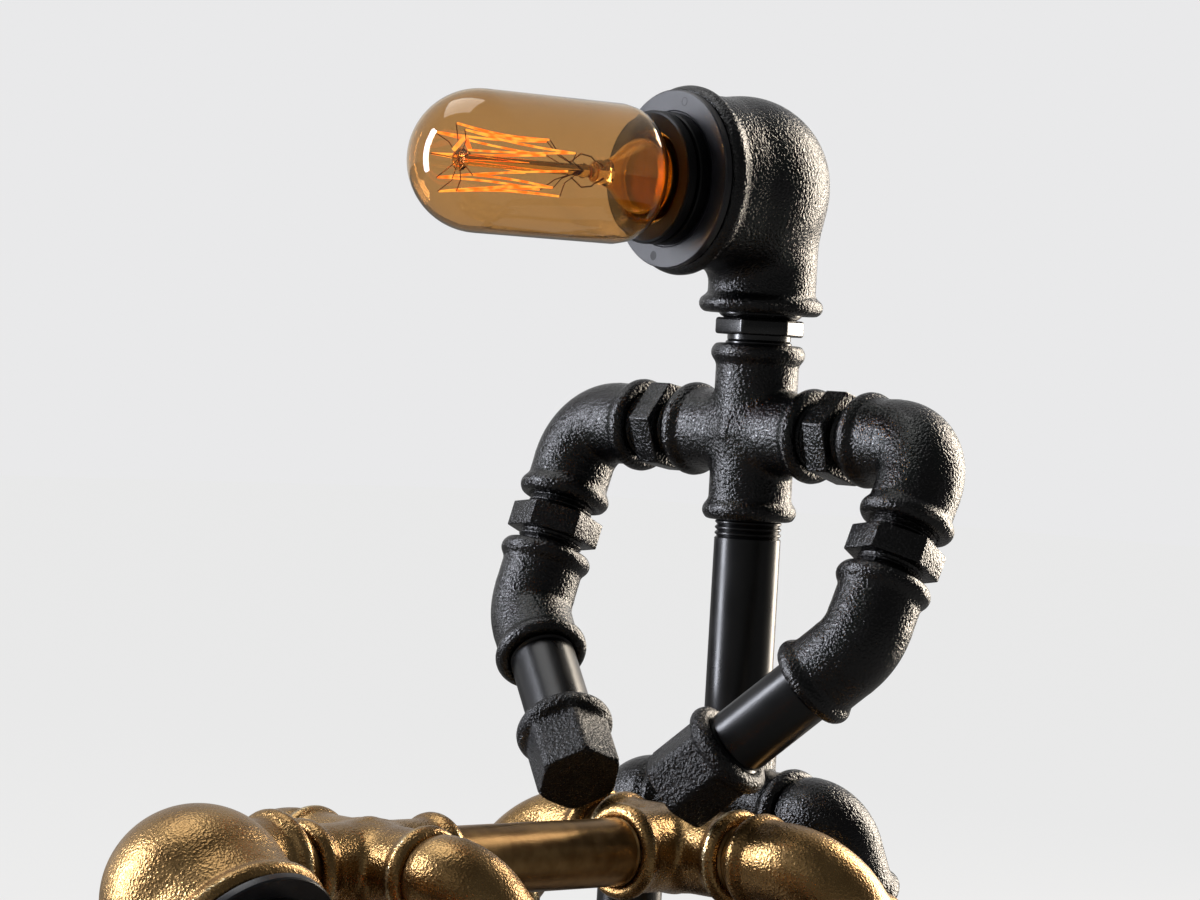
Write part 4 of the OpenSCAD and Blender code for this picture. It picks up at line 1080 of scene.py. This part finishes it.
# ---------------------------------------------------------------- floor, backdrop and lamps
# The floor takes the object's shadow. To the camera and in reflections it is mostly even paper.
FLOOR_HALF = 6
PAPER_SHARE = 0.92
PAPER_LEVEL, PAPER_LIFT = 0.2, 0.887
bm = bmesh.new()
bmesh.ops.create_grid(bm, x_segments=1, y_segments=1, size=FLOOR_HALF)
floor_mesh = bpy.data.meshes.new("floor")
bm.to_mesh(floor_mesh)
bm.free()
floor = bpy.data.objects.new("floor", floor_mesh)
bpy.context.collection.objects.link(floor)
floor_material, tree, shader, where = surface("pale_floor")
shader.inputs["Base Color"].default_value = paint("#bcbbb9")
shader.inputs["Roughness"].default_value = 0.9
ray = add(tree, "ShaderNodeLightPath").outputs
levels = {"operation": "MULTIPLY_ADD", 1: PAPER_LIFT, 2: PAPER_LEVEL}
level = add(tree, "ShaderNodeMath", levels, {0: ray["Is Camera Ray"]}).outputs[0]
paper = add(tree, "ShaderNodeEmission", {"Color": paint("#e8e8e8")}, {"Strength": level}).outputs[0]
rays = {0: ray["Is Camera Ray"], 1: ray["Is Glossy Ray"]}
seen = add(tree, "ShaderNodeMath", {"operation": "MAXIMUM"}, rays).outputs[0]
share = add(tree, "ShaderNodeMath", {"operation": "MULTIPLY", 1: PAPER_SHARE}, {0: seen}).outputs[0]
both = add(tree, "ShaderNodeMixShader", None, {0: share, 1: shader.outputs[0], 2: paper}).outputs[0]
tree.links.new(both, tree.nodes["Material Output"].inputs["Surface"])
floor.data.materials.append(floor_material)

LAMP_AIM = Vector((0, 0, 0.24))


def lamp(name, angle, away, height, size, power, colour="#ffffff"):
    """A soft box in metres and watts, angle degrees to the left of the camera as the object sees it."""
    side = turn(-angle, "Z") @ Vector((sin(AZIMUTH), -cos(AZIMUTH), 0))
    spot = side * away + Vector((0, 0, height))
    data = bpy.data.lights.new(name, "AREA")
    data.shape = "RECTANGLE"
    data.size, data.size_y = size
    data.energy = power
    data.color = paint(colour)[:3]
    made = bpy.data.objects.new(name, data)
    made.location = spot
    made.rotation_euler = (LAMP_AIM - spot).to_track_quat("-Z", "Y").to_euler()
    bpy.context.collection.objects.link(made)


lamp("left_box", 92, 1.25, 0.5, (0.26, 1.1), 24, "#f1f4ff")
lamp("right_back_box", -132, 1.2, 0.5, (0.42, 1.2), 28, "#fff1de")
lamp("top_box", 120, 0.5, 1.4, (0.7, 0.7), 4)
lamp("front_fill", 30, 1.5, 0.9, (0.8, 0.8), 0.7)

# The world lights the object faintly. The camera and glass see it as pale paper, and gloss sees it
# brighten towards the back of the room.
world = bpy.data.worlds.new("studio")
bpy.context.scene.world = world
world.use_nodes = True
tree = world.node_tree
tree.nodes.clear()
sky = add(tree, "ShaderNodeBackground", {"Color": paint("#e9eaec"), "Strength": 0.1}).outputs[0]
seen = add(tree, "ShaderNodeBackground", {"Color": paint("#e9e9ea"), "Strength": 1.0}).outputs[0]
ray = add(tree, "ShaderNodeLightPath").outputs
way = add(tree, "ShaderNodeTexCoord").outputs["Generated"]
facing = {"operation": "DOT_PRODUCT", 1: -back}
behind = add(tree, "ShaderNodeVectorMath", facing, {0: way}).outputs["Value"]
levels = {"From Min": 0.0, "From Max": 0.8, "To Min": 0.0, "To Max": 0.6}
glossy = add(tree, "ShaderNodeMapRange", levels, {"Value": behind}).outputs[0]
rays = {0: ray["Is Glossy Ray"], 1: glossy}
glossy = add(tree, "ShaderNodeMath", {"operation": "MULTIPLY"}, rays).outputs[0]
rays = {0: ray["Is Camera Ray"], 1: ray["Is Transmission Ray"]}
either = add(tree, "ShaderNodeMath", {"operation": "MAXIMUM"}, rays).outputs[0]
either = add(tree, "ShaderNodeMath", {"operation": "MAXIMUM"}, {0: either, 1: glossy}).outputs[0]
mixed = add(tree, "ShaderNodeMixShader", None, {0: either, 1: sky, 2: seen}).outputs[0]
add(tree, "ShaderNodeOutputWorld", None, {"Surface": mixed})

bpy.context.scene.view_settings.view_transform = "Standard"
